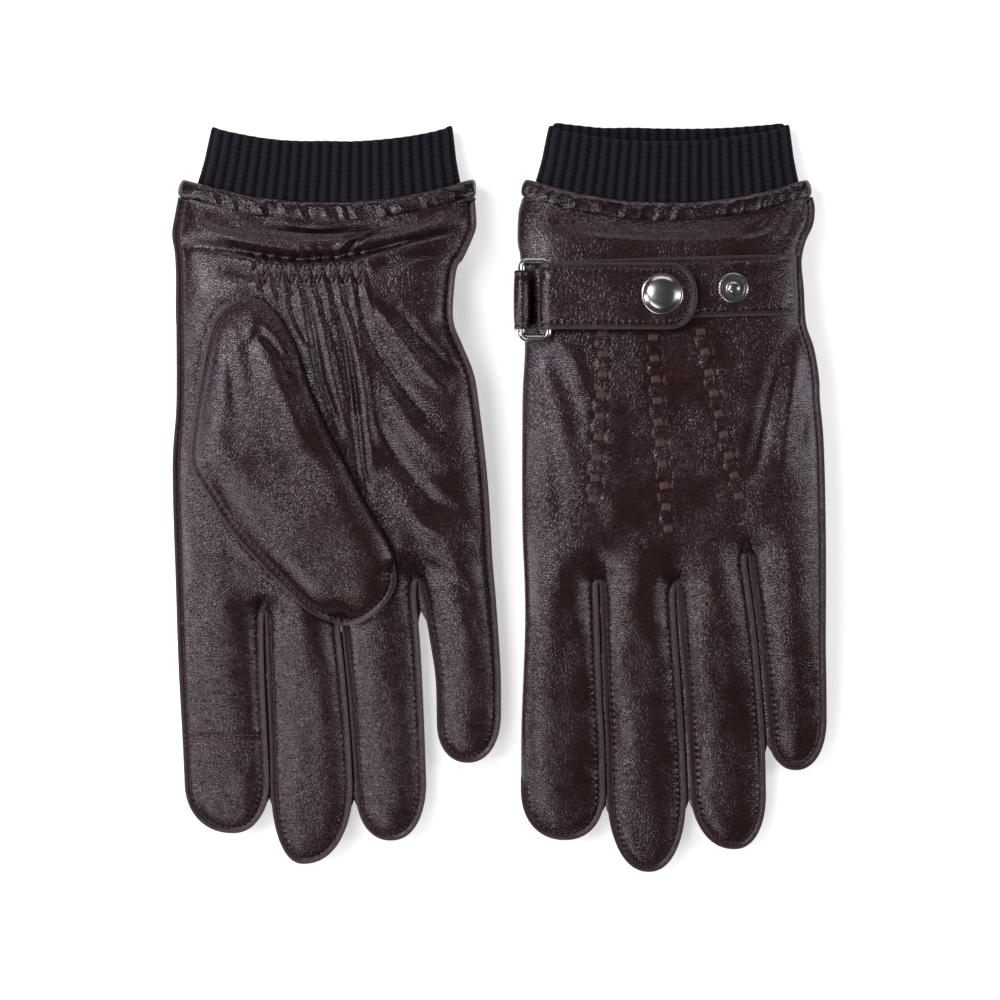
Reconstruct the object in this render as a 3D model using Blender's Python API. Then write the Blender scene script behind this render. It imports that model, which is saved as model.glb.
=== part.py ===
"""A pair of laced leather touchscreen gloves, laid side by side on a table.

Both gloves lie with their fingers towards -Y and their knit cuffs towards +Y. The right glove shows its
palm and the left glove its back, so each one is the other mirrored through the table's plane.

Every piece is drawn in a flat pattern of its glove: x from the glove's centre line, y along the hand and
w out of the back of the hand, with w = 0 halfway through it. lay() then drapes the pattern on the table.
Lengths are millimetres, and MM turns them into Blender's metres when a mesh is made.
"""
import math
from dataclasses import dataclass

import bmesh
import bpy
import numpy as np

MM = 0.001
GAP = 0.3                 # clearance between neighbouring pieces

# Hand
HALF_THICK = 6.6          # of the hand, from its middle to the outer face of a panel
LEATHER = 1.1
SQUARENESS = 4.4          # superellipse power of the hand's cross-section
FINGER_LINE = -49.0       # where the fingers hinge
PANEL_ROWS = (-49.0, -45.0, 7.0, 50.0, 62.0, 78.0, 86.0, 96.0, 105.7)
PANEL_STEPS = 10
LINER_HALF = 4.5
LINER_WALL = 0.7
LINER_END = 96.0

# Cuff
HEM_Y = (106.0, 112.0)
HEM_HALF = 7.0
HEM_WALL = 1.5
KNIT_ROWS = (             # place along the hand, half width, half thickness
    (97.0, 46.4, 4.9), (106.0, 46.4, 4.9), (112.0, 45.4, 5.0), (121.0, 42.6, 5.4), (131.3, 40.6, 6.0),
)
KNIT_WALL = 1.1
CUFF_STEPS = 16
DIP_FROM = 88.0           # the cuff's edge dips in the middle, from here on
HEM_DIP = 9.0
MOUTH_DIP = 5.0

# Wrist elastic, sewn inside the palm panel
ELASTIC_X = (-24.5, 12.5)
ELASTIC_Y = (75.0, 82.0)
ELASTIC_W = (-5.2, -4.8)

# Fingers
FINGER_WALL = 1.5         # leather and lining together
FINGER_HALF = 5.9
FINGER_STEPS = 12
FINGER_POWER = 3.4
TIP_ANGLES = (32.0, 60.0, 80.0)
SIDE_STRIP = 0.8          # the leather between two fingers
SIDE_ROOM = 1.5           # what a finger leaves free on a side that has a neighbour
TOUCH_FROM = -84.0        # the touch panel covers the index finger from here to its tip
TOUCH_THICK = 0.8

# Thumb, lying over the palm
THUMB_THICK = 8.3
HAND_LEVEL = HALF_THICK + GAP + THUMB_THICK    # of the hand's middle, where the thumb or strap is under it
THUMB_LEFT = (-33.8, -10.7)
THUMB_RIGHT = (4.7, 15.2)
THUMB_SHOULDER = 37.0
THUMB_SHOULDER_HALF = 16.8
THUMB_LENGTH = 53.0
THUMB_BASE_ROWS = (       # left edge, right edge, height over the palm
    ((-31.0, 69.5), (-23.3, 69.1), 2.6),
    ((-40.4, 59.3), (-14.9, 61.1), 5.0),
    ((-43.4, 49.6), (-11.2, 50.4), 6.2),
    ((-45.7, 34.8), (-7.2, 41.8), 7.2),
    ((-47.4, 13.1), (-0.9, 27.8), 8.0),
)
THUMB_HOLE = (-23.0, 24.0)
THUMB_HOLE_RADII = (12.0, 9.0)

# Strap and its hardware; heights are over the back panel's face
RING_Y = 69.1
BAR_W = HALF_THICK + 3.3
BAR_RADIUS = 1.3
OUTER_BAR_X = -53.3
INNER_BAR_X = -44.2
RING_HALF_Y = 12.7
RING_CORNER = 2.0
STRAP_THICK = 1.4
STRAP_FROM = -39.4
STRAP_TO = 42.8
STRAP_RISE = 5.4          # the strap's centre line climbs this much on its way to the seam
FLAP_HALF = 11.0
FLAP_END = 7.3
FLAP_ROUND = 8.0          # length of its rounded end
FOLD_RADIUS = 2.3
FOLD_STEPS = 9
TUCK = 3.0                # how far the flap's under side runs on past the ring's bar
TAB_HALF = 10.0
TAB_THICK = 1.0
CAP_AT = (-5.0, 70.6)
STUD_AT = (19.8, 73.2)
CAP_PROFILE = ((0.0, 6.6), (6.6, 6.6), (7.25, 7.1), (6.9, 7.9), (4.6, 8.6), (0.0, 8.6))
STUD_PROFILE = ((0.0, 2.0), (5.4, 2.0), (5.4, 2.9), (4.3, 2.9), (4.1, 2.5), (2.4, 2.5), (2.4, 3.6), (1.6, 4.4),
                (0.0, 4.4))
SOCKET_PROFILE = ((2.8, 3.2), (5.0, 3.2), (5.0, 4.6), (2.8, 4.6))
TURNED_STEPS = 20

# Lacing on the back: where each strip starts and ends
LACES = (((-25.6, 51.0), (-28.4, 0.5)), ((-7.0, 51.0), (-2.6, -9.8)), ((10.2, 51.0), (21.9, 1.4)))
LACE_HALF = 1.9
LACE_THICK = 0.8


@dataclass(frozen=True)
class Finger:
    """One finger: its edges at the finger line and at the shoulder, where its tip begins to round."""

    name: str
    base: tuple
    shoulder: tuple
    shoulder_y: float
    tip_y: float
    tip_half: float
    neighbours: tuple


@dataclass(frozen=True)
class Glove:
    """One glove: how it lies, and the edges of its hand and fingers."""

    side: str
    palm_up: bool
    centre_x: float
    levels: tuple         # (y, height of the hand's middle over the table)
    edges: tuple          # (y, left edge, right edge)
    fingers: tuple


RIGHT = Glove(
    "right", True, -58.7,
    ((-49.0, HALF_THICK), (50.0, HAND_LEVEL), (86.0, HAND_LEVEL), (131.3, 6.0)),
    ((-49.0, -53.6, 59.2), (-35.0, -53.8, 58.4), (7.0, -54.6, 55.5), (45.0, -53.0, 50.4), (62.0, -53.0, 43.7),
     (78.0, -53.2, 44.1), (86.0, -53.4, 47.0), (100.0, -53.7, 51.2), (112.0, -51.5, 50.5)),
    (Finger("index", (-53.0, -23.4), (-50.6, -21.4), -99.0, -116.4, 4.0, (False, True)),
     Finger("middle", (-22.4, 3.8), (-20.8, 8.0), -103.0, -127.2, 5.1, (True, True)),
     Finger("ring", (4.8, 31.2), (9.0, 33.8), -102.0, -118.8, 5.1, (True, True)),
     Finger("little", (34.0, 59.0), (37.2, 58.9), -80.0, -91.9, 5.9, (True, False))),
)
LEFT = Glove(
    "left", False, 61.9,
    ((-100.0, 5.1), (-45.0, HAND_LEVEL), (86.0, HAND_LEVEL), (131.3, 6.0)),
    ((-49.0, -52.3, 52.7), (-35.0, -52.3, 52.7), (7.0, -53.0, 52.3), (45.0, -52.5, 49.9), (62.0, -52.3, 45.9),
     (78.0, -53.2, 44.9), (86.0, -53.8, 44.2), (100.0, -54.4, 48.8), (112.0, -52.1, 47.0)),
    (Finger("index", (-52.0, -26.3), (-52.9, -23.9), -103.8, -119.2, 4.0, (False, True)),
     Finger("middle", (-25.7, 0.8), (-23.4, 4.2), -108.0, -130.0, 5.1, (True, True)),
     Finger("ring", (1.5, 28.0), (4.9, 31.8), -103.0, -122.0, 5.1, (True, True)),
     Finger("little", (28.8, 52.7), (33.0, 52.7), -83.0, -94.3, 5.9, (True, False))),
)


def material(name, colour, roughness, metallic=0.0):
    """Make one plain finish."""
    made = bpy.data.materials.new(name)
    made.use_nodes = True
    shader = made.node_tree.nodes["Principled BSDF"]
    shader.inputs["Base Color"].default_value = (*colour, 1.0)
    shader.inputs["Roughness"].default_value = roughness
    shader.inputs["Metallic"].default_value = metallic
    made.diffuse_color = (*colour, 1.0)
    return made


def finishes():
    """Make the finishes of the pair, by name."""
    return {
        "leather": material("leather", (0.040, 0.022, 0.020), 0.48),
        "lacing": material("lacing", (0.070, 0.026, 0.018), 0.55),
        "knit": material("knit", (0.012, 0.012, 0.017), 0.9),
        "lining": material("lining", (0.03, 0.03, 0.035), 0.95),
        "elastic": material("elastic", (0.02, 0.02, 0.022), 0.8),
        "metal": material("metal", (0.75, 0.74, 0.72), 0.15, 1.0),
    }


def ramp(value, start, end):
    """Rise smoothly from 0 at start to 1 at end."""
    t = np.clip((np.asarray(value, float) - start) / (end - start), 0.0, 1.0)
    return t * t * (3.0 - 2.0 * t)


def edges(glove, y):
    """Return the hand's left and right edge at y."""
    ys, left, right = zip(*glove.edges)
    return np.interp(y, ys, left), np.interp(y, ys, right)


def oval(angles, half_wide, half_thick, power):
    """Return points of a superellipse, as offsets across and out of the back."""
    cos, sin = np.cos(angles), np.sin(angles)
    fold = 2.0 / power
    return half_wide * np.sign(cos) * np.abs(cos) ** fold, half_thick * np.sign(sin) * np.abs(sin) ** fold


def surface(glove, x, y):
    """Return how far the hand's outer face is from its middle at a place on the pattern."""
    left, right = edges(glove, y)
    across = np.clip(np.abs(x - (left + right) / 2) / ((right - left) / 2), 0.0, 0.995)
    return HALF_THICK * (1.0 - across ** SQUARENESS) ** (1.0 / SQUARENESS)


def lay(glove, points):
    """Drape pattern points on the table, in millimetres."""
    x, y, w = np.moveaxis(np.asarray(points, float), -1, 0)
    ys, heights = zip(*glove.levels)
    left, right = edges(glove, HEM_Y[1])
    across = np.clip((x - (left + right) / 2) / ((right - left) / 2), -1.0, 1.0)
    dip = HEM_DIP * ramp(y, DIP_FROM, HEM_Y[0]) - (HEM_DIP - MOUTH_DIP) * ramp(y, HEM_Y[0], KNIT_ROWS[-1][0])
    up = -w if glove.palm_up else w
    return np.stack([x + glove.centre_x, y - dip * (1.0 - across ** 2), np.interp(y, ys, heights) + up], -1)


def add_object(glove, name, vertices, faces, finish, pivot):
    """Make one named solid from table points, with its origin on the pivot."""
    mesh = bpy.data.meshes.new(name)
    mesh.from_pydata([tuple((np.asarray(v) - pivot) * MM) for v in vertices], [], faces)
    shape = bmesh.new()
    shape.from_mesh(mesh)
    bmesh.ops.recalc_face_normals(shape, faces=shape.faces)
    shape.to_mesh(mesh)
    shape.free()
    mesh.materials.append(finish)
    mesh.shade_smooth()
    mesh.set_sharp_from_angle(angle=math.radians(35.0))
    made = bpy.data.objects.new(f"{glove.side}_{name}", mesh)
    made.location = tuple(np.asarray(pivot) * MM)
    made.parent = bpy.data.objects[f"{glove.side}_glove_frame"]
    bpy.context.scene.collection.objects.link(made)
    return made


def grid_faces(first, rows, columns, wrap):
    """Return the quads of a grid of vertices that starts at index first."""
    spans = columns if wrap else columns - 1
    return [(first + r * columns + c, first + r * columns + (c + 1) % columns,
             first + (r + 1) * columns + (c + 1) % columns, first + (r + 1) * columns + c)
            for r in range(rows - 1) for c in range(spans)]


def thick_sheet(glove, name, outer, inner, finish, pivot=(0.0, 0.0, 0.0), wrap=False, closed_end=False):
    """Make a wall between an outer and an inner grid of pattern points, open or joined at its edges."""
    rows, columns = outer.shape[:2]
    count = rows * columns
    vertices = list(lay(glove, outer).reshape(-1, 3)) + list(lay(glove, inner).reshape(-1, 3))
    faces = grid_faces(0, rows, columns, wrap)
    faces += [face[::-1] for face in grid_faces(count, rows, columns, wrap)]
    spans = columns if wrap else columns - 1
    for row in (0,) if closed_end else (0, rows - 1):
        for c in range(spans):
            a, b = row * columns + c, row * columns + (c + 1) % columns
            faces.append((a, count + a, count + b, b) if row == 0 else (a, b, count + b, count + a))
    if not wrap:
        for c in (0, columns - 1):
            for r in range(rows - 1):
                a, b = r * columns + c, (r + 1) * columns + c
                faces.append((a, b, count + b, count + a) if c == 0 else (a, count + a, count + b, b))
    if closed_end:
        for start, grid in (((rows - 1) * columns, outer), (count + (rows - 1) * columns, inner)):
            vertices.append(lay(glove, grid[-1].mean(axis=0)))
            tip = len(vertices) - 1
            fan = [(start + c, start + (c + 1) % columns, tip) for c in range(columns)]
            faces += fan if start < count else [face[::-1] for face in fan]
    return add_object(glove, name, vertices, faces, finish, np.asarray(pivot, float))


def hand_grid(glove, rows, angles, inset, half_thick, lift=0.0):
    """Return a grid that follows the hand's edges, inset by a distance and of a half thickness."""
    grid = []
    for y in rows:
        left, right = edges(glove, y)
        across, out = oval(angles, (right - left) / 2 - inset, half_thick - lift, SQUARENESS)
        grid.append(np.stack([(left + right) / 2 + across, np.full_like(across, y), out + lift], -1))
    return np.array(grid)


def make_hand(glove, finish):
    """Make the palm and back panels, and the lining between them with its thumb hole."""
    cutter = thumb_hole_cutter(glove)
    half_turn = np.linspace(0.0, math.pi, PANEL_STEPS + 1)
    seam = GAP / 2
    for name, sign in (("back_panel", 1.0), ("palm_panel", -1.0)):
        outer = hand_grid(glove, PANEL_ROWS, half_turn, 0.0, HALF_THICK, seam)
        inner = hand_grid(glove, PANEL_ROWS, half_turn, LEATHER, HALF_THICK - LEATHER, seam)
        outer[..., 2] *= sign
        inner[..., 2] *= sign
        panel = thick_sheet(glove, name, outer, inner, finish["leather"])
        if sign < 0:
            cut(panel, cutter)
    rows = [y for y in PANEL_ROWS if y < LINER_END] + [LINER_END]
    full_turn = np.linspace(0.0, 2 * math.pi, CUFF_STEPS, endpoint=False)
    outer = hand_grid(glove, rows, full_turn, LEATHER + 2 * GAP, LINER_HALF)
    inner = hand_grid(glove, rows, full_turn, LEATHER + 2 * GAP + LINER_WALL, LINER_HALF - LINER_WALL)
    cut(thick_sheet(glove, "hand_liner", outer, inner, finish["lining"], wrap=True), cutter)


def thumb_hole_cutter(glove):
    """Make the oval cutter of the thumb hole, through the palm side only."""
    turn = np.linspace(0.0, 2 * math.pi, CUFF_STEPS, endpoint=False)
    rim = [(THUMB_HOLE[0] + THUMB_HOLE_RADII[0] * math.cos(a), THUMB_HOLE[1] + THUMB_HOLE_RADII[1] * math.sin(a))
           for a in turn]
    low, high = -HALF_THICK - LEATHER, -LINER_WALL
    points = [(x, y, w) for w in (low, high) for x, y in rim]
    faces = [tuple(range(CUFF_STEPS)), tuple(range(CUFF_STEPS, 2 * CUFF_STEPS))]
    faces += [(i, (i + 1) % CUFF_STEPS, CUFF_STEPS + (i + 1) % CUFF_STEPS, CUFF_STEPS + i)
              for i in range(CUFF_STEPS)]
    cutter = add_object(glove, "thumb_hole_cutter", list(lay(glove, points)), faces, None, np.zeros(3))
    cutter.hide_render = True
    cutter.display_type = "WIRE"
    return cutter


def cut(panel, cutter):
    """Cut the thumb hole out of a panel."""
    hole = panel.modifiers.new("thumb_hole", "BOOLEAN")
    hole.operation = "DIFFERENCE"
    hole.solver = "EXACT"
    hole.object = cutter


def make_cuff(glove, finish):
    """Make the rolled leather hem and the ribbed knit cuff inside it."""
    turn = np.linspace(0.0, 2 * math.pi, CUFF_STEPS, endpoint=False)
    outer = hand_grid(glove, HEM_Y, turn, 0.0, HEM_HALF)
    inner = hand_grid(glove, HEM_Y, turn, HEM_WALL, HEM_HALF - HEM_WALL)
    thick_sheet(glove, "cuff_hem", outer, inner, finish["leather"], wrap=True)
    left, right = edges(glove, HEM_Y[1])
    walls = []
    for wall in (0.0, KNIT_WALL):
        rings = []
        for y, half_wide, half_thick in KNIT_ROWS:
            across, out = oval(turn, half_wide - wall, half_thick - wall, SQUARENESS)
            rings.append(np.stack([(left + right) / 2 + across, np.full_like(across, y), out], -1))
        walls.append(np.array(rings))
    thick_sheet(glove, "knit_cuff", walls[0], walls[1], finish["knit"], wrap=True)


def flat_strip(glove, name, start, end, half, low, high, finish, steps=2):
    """Make a flat straight strip between two places, from height low to height high."""
    start, end = np.array(start), np.array(end)
    along = (end - start) / np.linalg.norm(end - start)
    side = np.array([-along[1], along[0]]) * half
    grids = []
    for w in (high, low):
        rows = [start + (end - start) * t for t in np.linspace(0.0, 1.0, steps)]
        grids.append(np.array([[(*(p - side), w), (*(p + side), w)] for p in rows]))
    thick_sheet(glove, name, grids[0], grids[1], finish)


def make_trim(glove, finish):
    """Make the wrist elastic and the three lacing strips."""
    middle_y = sum(ELASTIC_Y) / 2
    flat_strip(glove, "wrist_elastic", (ELASTIC_X[0], middle_y), (ELASTIC_X[1], middle_y),
               (ELASTIC_Y[1] - ELASTIC_Y[0]) / 2, ELASTIC_W[0], ELASTIC_W[1], finish["elastic"])
    low = HALF_THICK + GAP
    for name, (start, end) in zip(("inner", "middle", "outer"), LACES):
        flat_strip(glove, f"lacing_{name}", start, end, LACE_HALF, low, low + LACE_THICK, finish["lacing"], 4)


def pouch_rings(base, reach, halves, thicks, angles, grow, rise=0.0):
    """Return the rings of a finger-shaped tube.

    base is the centre and the across direction of its open end, reach how far its shoulder and tip are,
    halves and thicks its half width and half thickness at the base and the shoulder, grow how far the
    rings stand outside the tube, and rise how far its middle is out of the hand's middle.
    """
    centre, across_dir = np.array(base[0], float), np.array(base[1], float)
    forward, shoulder, tip = np.array(reach[0], float), reach[1], reach[2]
    places = [(s * shoulder, s, 1.0) for s in (0.0, 0.35, 0.7, 1.0)]
    places += [(shoulder + (tip - shoulder) * math.sin(math.radians(a)), 1.0, math.cos(math.radians(a)))
               for a in TIP_ANGLES]
    rings = []
    for reach_to, t, taper in places:
        half_wide = (halves[0] + (halves[1] - halves[0]) * t) * taper
        half_thick = (thicks[0] + (thicks[1] - thicks[0]) * t) * taper ** 0.5
        step_out = grow * (1.0 - taper)
        across, out = oval(angles, half_wide + grow, half_thick + grow, FINGER_POWER)
        spot = centre + forward * (reach_to + step_out)
        spot = spot + halves[2] * t * across_dir
        flat = spot[None, :] + across[:, None] * across_dir[None, :]
        rings.append(np.concatenate([flat, (out + rise)[:, None]], axis=1))
    return np.array(rings)


def finger_rings(finger, angles, grow):
    """Return the rings of one finger, grown by a distance."""
    edges_at = []
    for left, right in (finger.base, finger.shoulder):
        left = left + (SIDE_ROOM if finger.neighbours[0] else 0.0)
        right = right - (SIDE_ROOM if finger.neighbours[1] else 0.0)
        edges_at.append(((left + right) / 2, (right - left) / 2))
    start_y = FINGER_LINE - GAP
    halves = (edges_at[0][1], edges_at[1][1], edges_at[1][0] - edges_at[0][0])
    return pouch_rings(((edges_at[0][0], start_y), (1.0, 0.0)),
                       ((0.0, -1.0), start_y - finger.shoulder_y, start_y - finger.tip_y),
                       halves, (FINGER_HALF, finger.tip_half), angles, grow)


def finger_pivot(glove, finger):
    """Return the middle of a finger's hinge line, on the palm side of the hand."""
    x = (finger.base[0] + finger.base[1]) / 2
    return lay(glove, (x, FINGER_LINE, -HALF_THICK))


def make_finger(glove, finger, finish):
    """Make a finger's leather tube, its side strips and, on the index finger, its touch panel."""
    turn = np.linspace(0.0, 2 * math.pi, FINGER_STEPS, endpoint=False) + math.pi / FINGER_STEPS
    pivot = finger_pivot(glove, finger)
    outer = finger_rings(finger, turn, 0.0)
    inner = finger_rings(finger, turn, -FINGER_WALL)
    thick_sheet(glove, f"{finger.name}_finger", outer, inner, finish["leather"], pivot, True, True)
    side_arc = np.radians(np.linspace(-42.0, 42.0, 5))
    for has_neighbour, name, middle in zip(finger.neighbours, ("inner", "outer"), (math.pi, 0.0)):
        if has_neighbour:
            strip = [finger_rings(finger, side_arc + middle, grow)[:4] for grow in (GAP + SIDE_STRIP, GAP)]
            thick_sheet(glove, f"{finger.name}_side_{name}", strip[0], strip[1], finish["leather"], pivot)
    if finger.name == "index":
        palm_arc = np.radians(np.linspace(-132.0, -48.0, 6))
        panels = [finger_rings(finger, palm_arc, grow)[2:] for grow in (GAP + TOUCH_THICK, GAP)]
        thick_sheet(glove, "touch_tip", panels[0], panels[1], finish["leather"], pivot)


def thumb_frame():
    """Return the middle of the thumb's hinge line, its direction and the direction of the thumb."""
    left, right = np.array(THUMB_LEFT), np.array(THUMB_RIGHT)
    across = (right - left) / np.linalg.norm(right - left)
    return (left + right) / 2, across, np.array([across[1], -across[0]])


def thumb_pivot(glove):
    """Return the middle of the thumb's hinge line, on the thumb's outer face."""
    middle = thumb_frame()[0]
    return lay(glove, (*middle, -HALF_THICK - THUMB_THICK - GAP))


def make_thumb(glove, finish):
    """Make the thumb's tube and the arched base that joins it to the palm."""
    middle, across, forward = thumb_frame()
    half = np.linalg.norm(np.array(THUMB_RIGHT) - np.array(THUMB_LEFT)) / 2
    turn = np.linspace(0.0, 2 * math.pi, FINGER_STEPS, endpoint=False) + math.pi / FINGER_STEPS
    thick = THUMB_THICK / 2
    walls = []
    for grow in (0.0, -FINGER_WALL):
        walls.append(pouch_rings((middle + forward * GAP, across), (forward, THUMB_SHOULDER, THUMB_LENGTH),
                                 (half, THUMB_SHOULDER_HALF, 0.0), (thick, thick), turn, grow,
                                 -(HALF_THICK + GAP + thick)))
    thick_sheet(glove, "thumb", walls[0], walls[1], finish["leather"], thumb_pivot(glove), True, True)
    arch = np.linspace(0.0, math.pi, PANEL_STEPS + 1)
    rows = (*THUMB_BASE_ROWS, (THUMB_LEFT, THUMB_RIGHT, THUMB_THICK))
    walls = []
    for wall in (0.0, LEATHER):
        grid = []
        for left, right, height in rows:
            left, right = np.array(left), np.array(right)
            middle = (left + right) / 2
            reach = (right - left) / 2
            reach = reach * (1.0 - wall / np.linalg.norm(reach))
            across, out = oval(arch, 1.0, height - wall, SQUARENESS)
            flat = middle[None, :] - across[:, None] * reach[None, :]
            face = surface(glove, flat[:, 0], flat[:, 1]) + GAP
            grid.append(np.concatenate([flat, -(face + out)[:, None]], axis=1))
        walls.append(np.array(grid))
    thick_sheet(glove, "thumb_base", walls[0], walls[1], finish["leather"])


def strap_centre(x):
    """Return the strap's centre line at x."""
    return RING_Y + STRAP_RISE * ramp(x, INNER_BAR_X, STRAP_TO)


def make_strap(glove, finish):
    """Make the strap: the base sewn across the wrist, and the flap folded round the ring."""
    xs = (STRAP_FROM, -20.0, 0.0, 20.0, 32.0, 38.0, STRAP_TO)
    grids = []
    for lift in (GAP + STRAP_THICK, GAP):
        rows = []
        for x in xs:
            ys = strap_centre(x) + np.array([-1.0, 0.0, 1.0]) * FLAP_HALF
            rows.append([(x, y, surface(glove, x, y) + lift) for y in ys])
        grids.append(np.array(rows))
    thick_sheet(glove, "strap_base", grids[0], grids[1], finish["leather"])
    path = [(INNER_BAR_X + TUCK, 0.0, -1.0)]
    for angle in np.radians(np.linspace(-90.0, -270.0, FOLD_STEPS)):
        path.append((INNER_BAR_X, math.cos(angle), math.sin(angle)))
    path += [(x, 0.0, 1.0) for x in (-20.0, FLAP_END - FLAP_ROUND, FLAP_END - 3.0, FLAP_END)]
    grids = []
    for offset in (STRAP_THICK / 2, -STRAP_THICK / 2):
        rows = []
        for x, out_x, out_w in path:
            past = max(0.0, x - FLAP_END + FLAP_ROUND) / FLAP_ROUND
            half = FLAP_HALF * math.sqrt(1.0 - min(0.9, past ** 2))
            reach = FOLD_RADIUS + offset
            spot_x, spot_w = x + reach * out_x, BAR_W + reach * out_w
            rows.append([(spot_x, RING_Y + side * half, spot_w) for side in (-1.0, -0.5, 0.5, 1.0)])
        grids.append(np.array(rows))
    thick_sheet(glove, "strap_flap", grids[0], grids[1], finish["leather"], flap_pivot(glove))


def flap_pivot(glove):
    """Return the middle of the ring's inner bar, which the flap turns about."""
    return lay(glove, (INNER_BAR_X, RING_Y, BAR_W))


def ring_pivot(glove):
    """Return the middle of the ring's outer bar, which turns in the tab."""
    return lay(glove, (OUTER_BAR_X, RING_Y, BAR_W))


def make_ring(glove, finish):
    """Make the wire ring, and the leather tab that holds its outer bar."""
    half_x = (INNER_BAR_X - OUTER_BAR_X) / 2
    middle_x = (INNER_BAR_X + OUTER_BAR_X) / 2
    route = bpy.data.curves.new("ring", "CURVE")
    route.dimensions = "3D"
    route.bevel_depth = BAR_RADIUS * MM
    route.bevel_resolution = 2
    spline = route.splines.new("POLY")
    points = []
    for sign_x, sign_y, start in ((1, 1, 0.0), (-1, 1, 90.0), (-1, -1, 180.0), (1, -1, 270.0)):
        for angle in np.radians([start, start + 30.0, start + 60.0, start + 90.0]):
            x = middle_x + sign_x * (half_x - RING_CORNER) + RING_CORNER * math.cos(angle)
            y = RING_Y + sign_y * (RING_HALF_Y - RING_CORNER) + RING_CORNER * math.sin(angle)
            points.append((x, y, BAR_W))
    spline.points.add(len(points) - 1)
    pivot = ring_pivot(glove)
    for point, spot in zip(spline.points, lay(glove, points)):
        point.co = (*((spot - pivot) * MM), 1.0)
    spline.use_cyclic_u = True
    route.materials.append(finish["metal"])
    ring = bpy.data.objects.new(f"{glove.side}_ring", route)
    ring.location = tuple(pivot * MM)
    ring.parent = bpy.data.objects[f"{glove.side}_glove_frame"]
    bpy.context.scene.collection.objects.link(ring)

    loop = BAR_RADIUS + GAP
    path = [(math.cos(a), math.sin(a)) for a in np.radians(np.linspace(-40.0, 180.0, 9))]
    grids = []
    for radius in (loop + TAB_THICK, loop):
        rows = [(OUTER_BAR_X + radius * x, BAR_W + radius * w) for x, w in path]
        rows.append((OUTER_BAR_X - radius, 1.0))
        grids.append(np.array([[(x, RING_Y - TAB_HALF, w), (x, RING_Y + TAB_HALF, w)] for x, w in rows]))
    thick_sheet(glove, "ring_tab", grids[0], grids[1], finish["leather"])


def turned(glove, name, centre, profile, finish, pivot=(0.0, 0.0, 0.0)):
    """Make a turned metal piece from its profile of (radius, height), solid where it meets the axis."""
    turn = np.linspace(0.0, 2 * math.pi, TURNED_STEPS, endpoint=False)
    vertices = []
    rings = []
    for radius, height in profile:
        w = HALF_THICK + height
        if radius == 0.0:
            rings.append([len(vertices)] * TURNED_STEPS)
            vertices.append((*centre, w))
        else:
            rings.append(list(range(len(vertices), len(vertices) + TURNED_STEPS)))
            for angle in turn:
                vertices.append((centre[0] + radius * math.cos(angle), centre[1] + radius * math.sin(angle), w))
    if profile[0][0] > 0.0:
        rings.append(rings[0])
    faces = []
    for low, high in zip(rings, rings[1:]):
        for i in range(TURNED_STEPS):
            corners = (low[i], low[(i + 1) % TURNED_STEPS], high[(i + 1) % TURNED_STEPS], high[i])
            faces.append(tuple(dict.fromkeys(corners)))
    add_object(glove, name, list(lay(glove, vertices)), faces, finish, np.asarray(pivot, float))


def make_snaps(glove, finish):
    """Make the snap: the cap and socket on the flap, the stud under them and the spare stud beside them."""
    turned(glove, "snap_cap", CAP_AT, CAP_PROFILE, finish["metal"], flap_pivot(glove))
    turned(glove, "snap_socket", CAP_AT, SOCKET_PROFILE, finish["metal"], flap_pivot(glove))
    turned(glove, "stud_inner", CAP_AT, STUD_PROFILE, finish["metal"])
    turned(glove, "stud_outer", STUD_AT, STUD_PROFILE, finish["metal"])


def make_glove(glove, finish):
    """Make one glove."""
    frame = bpy.data.objects.new(f"{glove.side}_glove_frame", None)
    bpy.context.scene.collection.objects.link(frame)
    make_hand(glove, finish)
    make_cuff(glove, finish)
    make_trim(glove, finish)
    for finger in glove.fingers:
        make_finger(glove, finger, finish)
    make_thumb(glove, finish)
    make_strap(glove, finish)
    make_ring(glove, finish)
    make_snaps(glove, finish)


for old in list(bpy.data.objects):
    bpy.data.objects.remove(old)
FINISHES = finishes()
for pair_half in (RIGHT, LEFT):
    make_glove(pair_half, FINISHES)
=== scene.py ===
"""A pair of laced leather touchscreen gloves with knit cuffs, laid side by side on a pale table.

The right glove lies with its palm up and the left glove with its back up. Every soft piece is drawn in
the flat pattern of its glove, in millimetres: x from the glove's centre line, y along the hand from the
fingertips to the cuff, and w out of the back of the hand. Drape.lay() puts a pattern point on the table,
in metres.
"""

import logging
import math
from collections.abc import Callable
from dataclasses import dataclass
from enum import Enum

import bpy
import numpy as np
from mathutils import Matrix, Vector
from mathutils.geometry import delaunay_2d_cdt
from mathutils.kdtree import KDTree


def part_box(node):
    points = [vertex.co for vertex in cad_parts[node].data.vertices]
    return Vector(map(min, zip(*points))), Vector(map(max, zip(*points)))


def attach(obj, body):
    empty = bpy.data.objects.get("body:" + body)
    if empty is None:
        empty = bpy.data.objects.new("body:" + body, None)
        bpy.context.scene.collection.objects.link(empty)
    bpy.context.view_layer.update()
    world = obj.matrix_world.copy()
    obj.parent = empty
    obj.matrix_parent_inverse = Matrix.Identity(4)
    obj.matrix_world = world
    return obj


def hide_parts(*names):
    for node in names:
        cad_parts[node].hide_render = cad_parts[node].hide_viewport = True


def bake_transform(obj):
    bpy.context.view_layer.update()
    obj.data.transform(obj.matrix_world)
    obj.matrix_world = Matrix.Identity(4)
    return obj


Array = np.ndarray
Material = bpy.types.Material
Object = bpy.types.Object

MM = 0.001
LOG = logging.getLogger("gloves")

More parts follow.
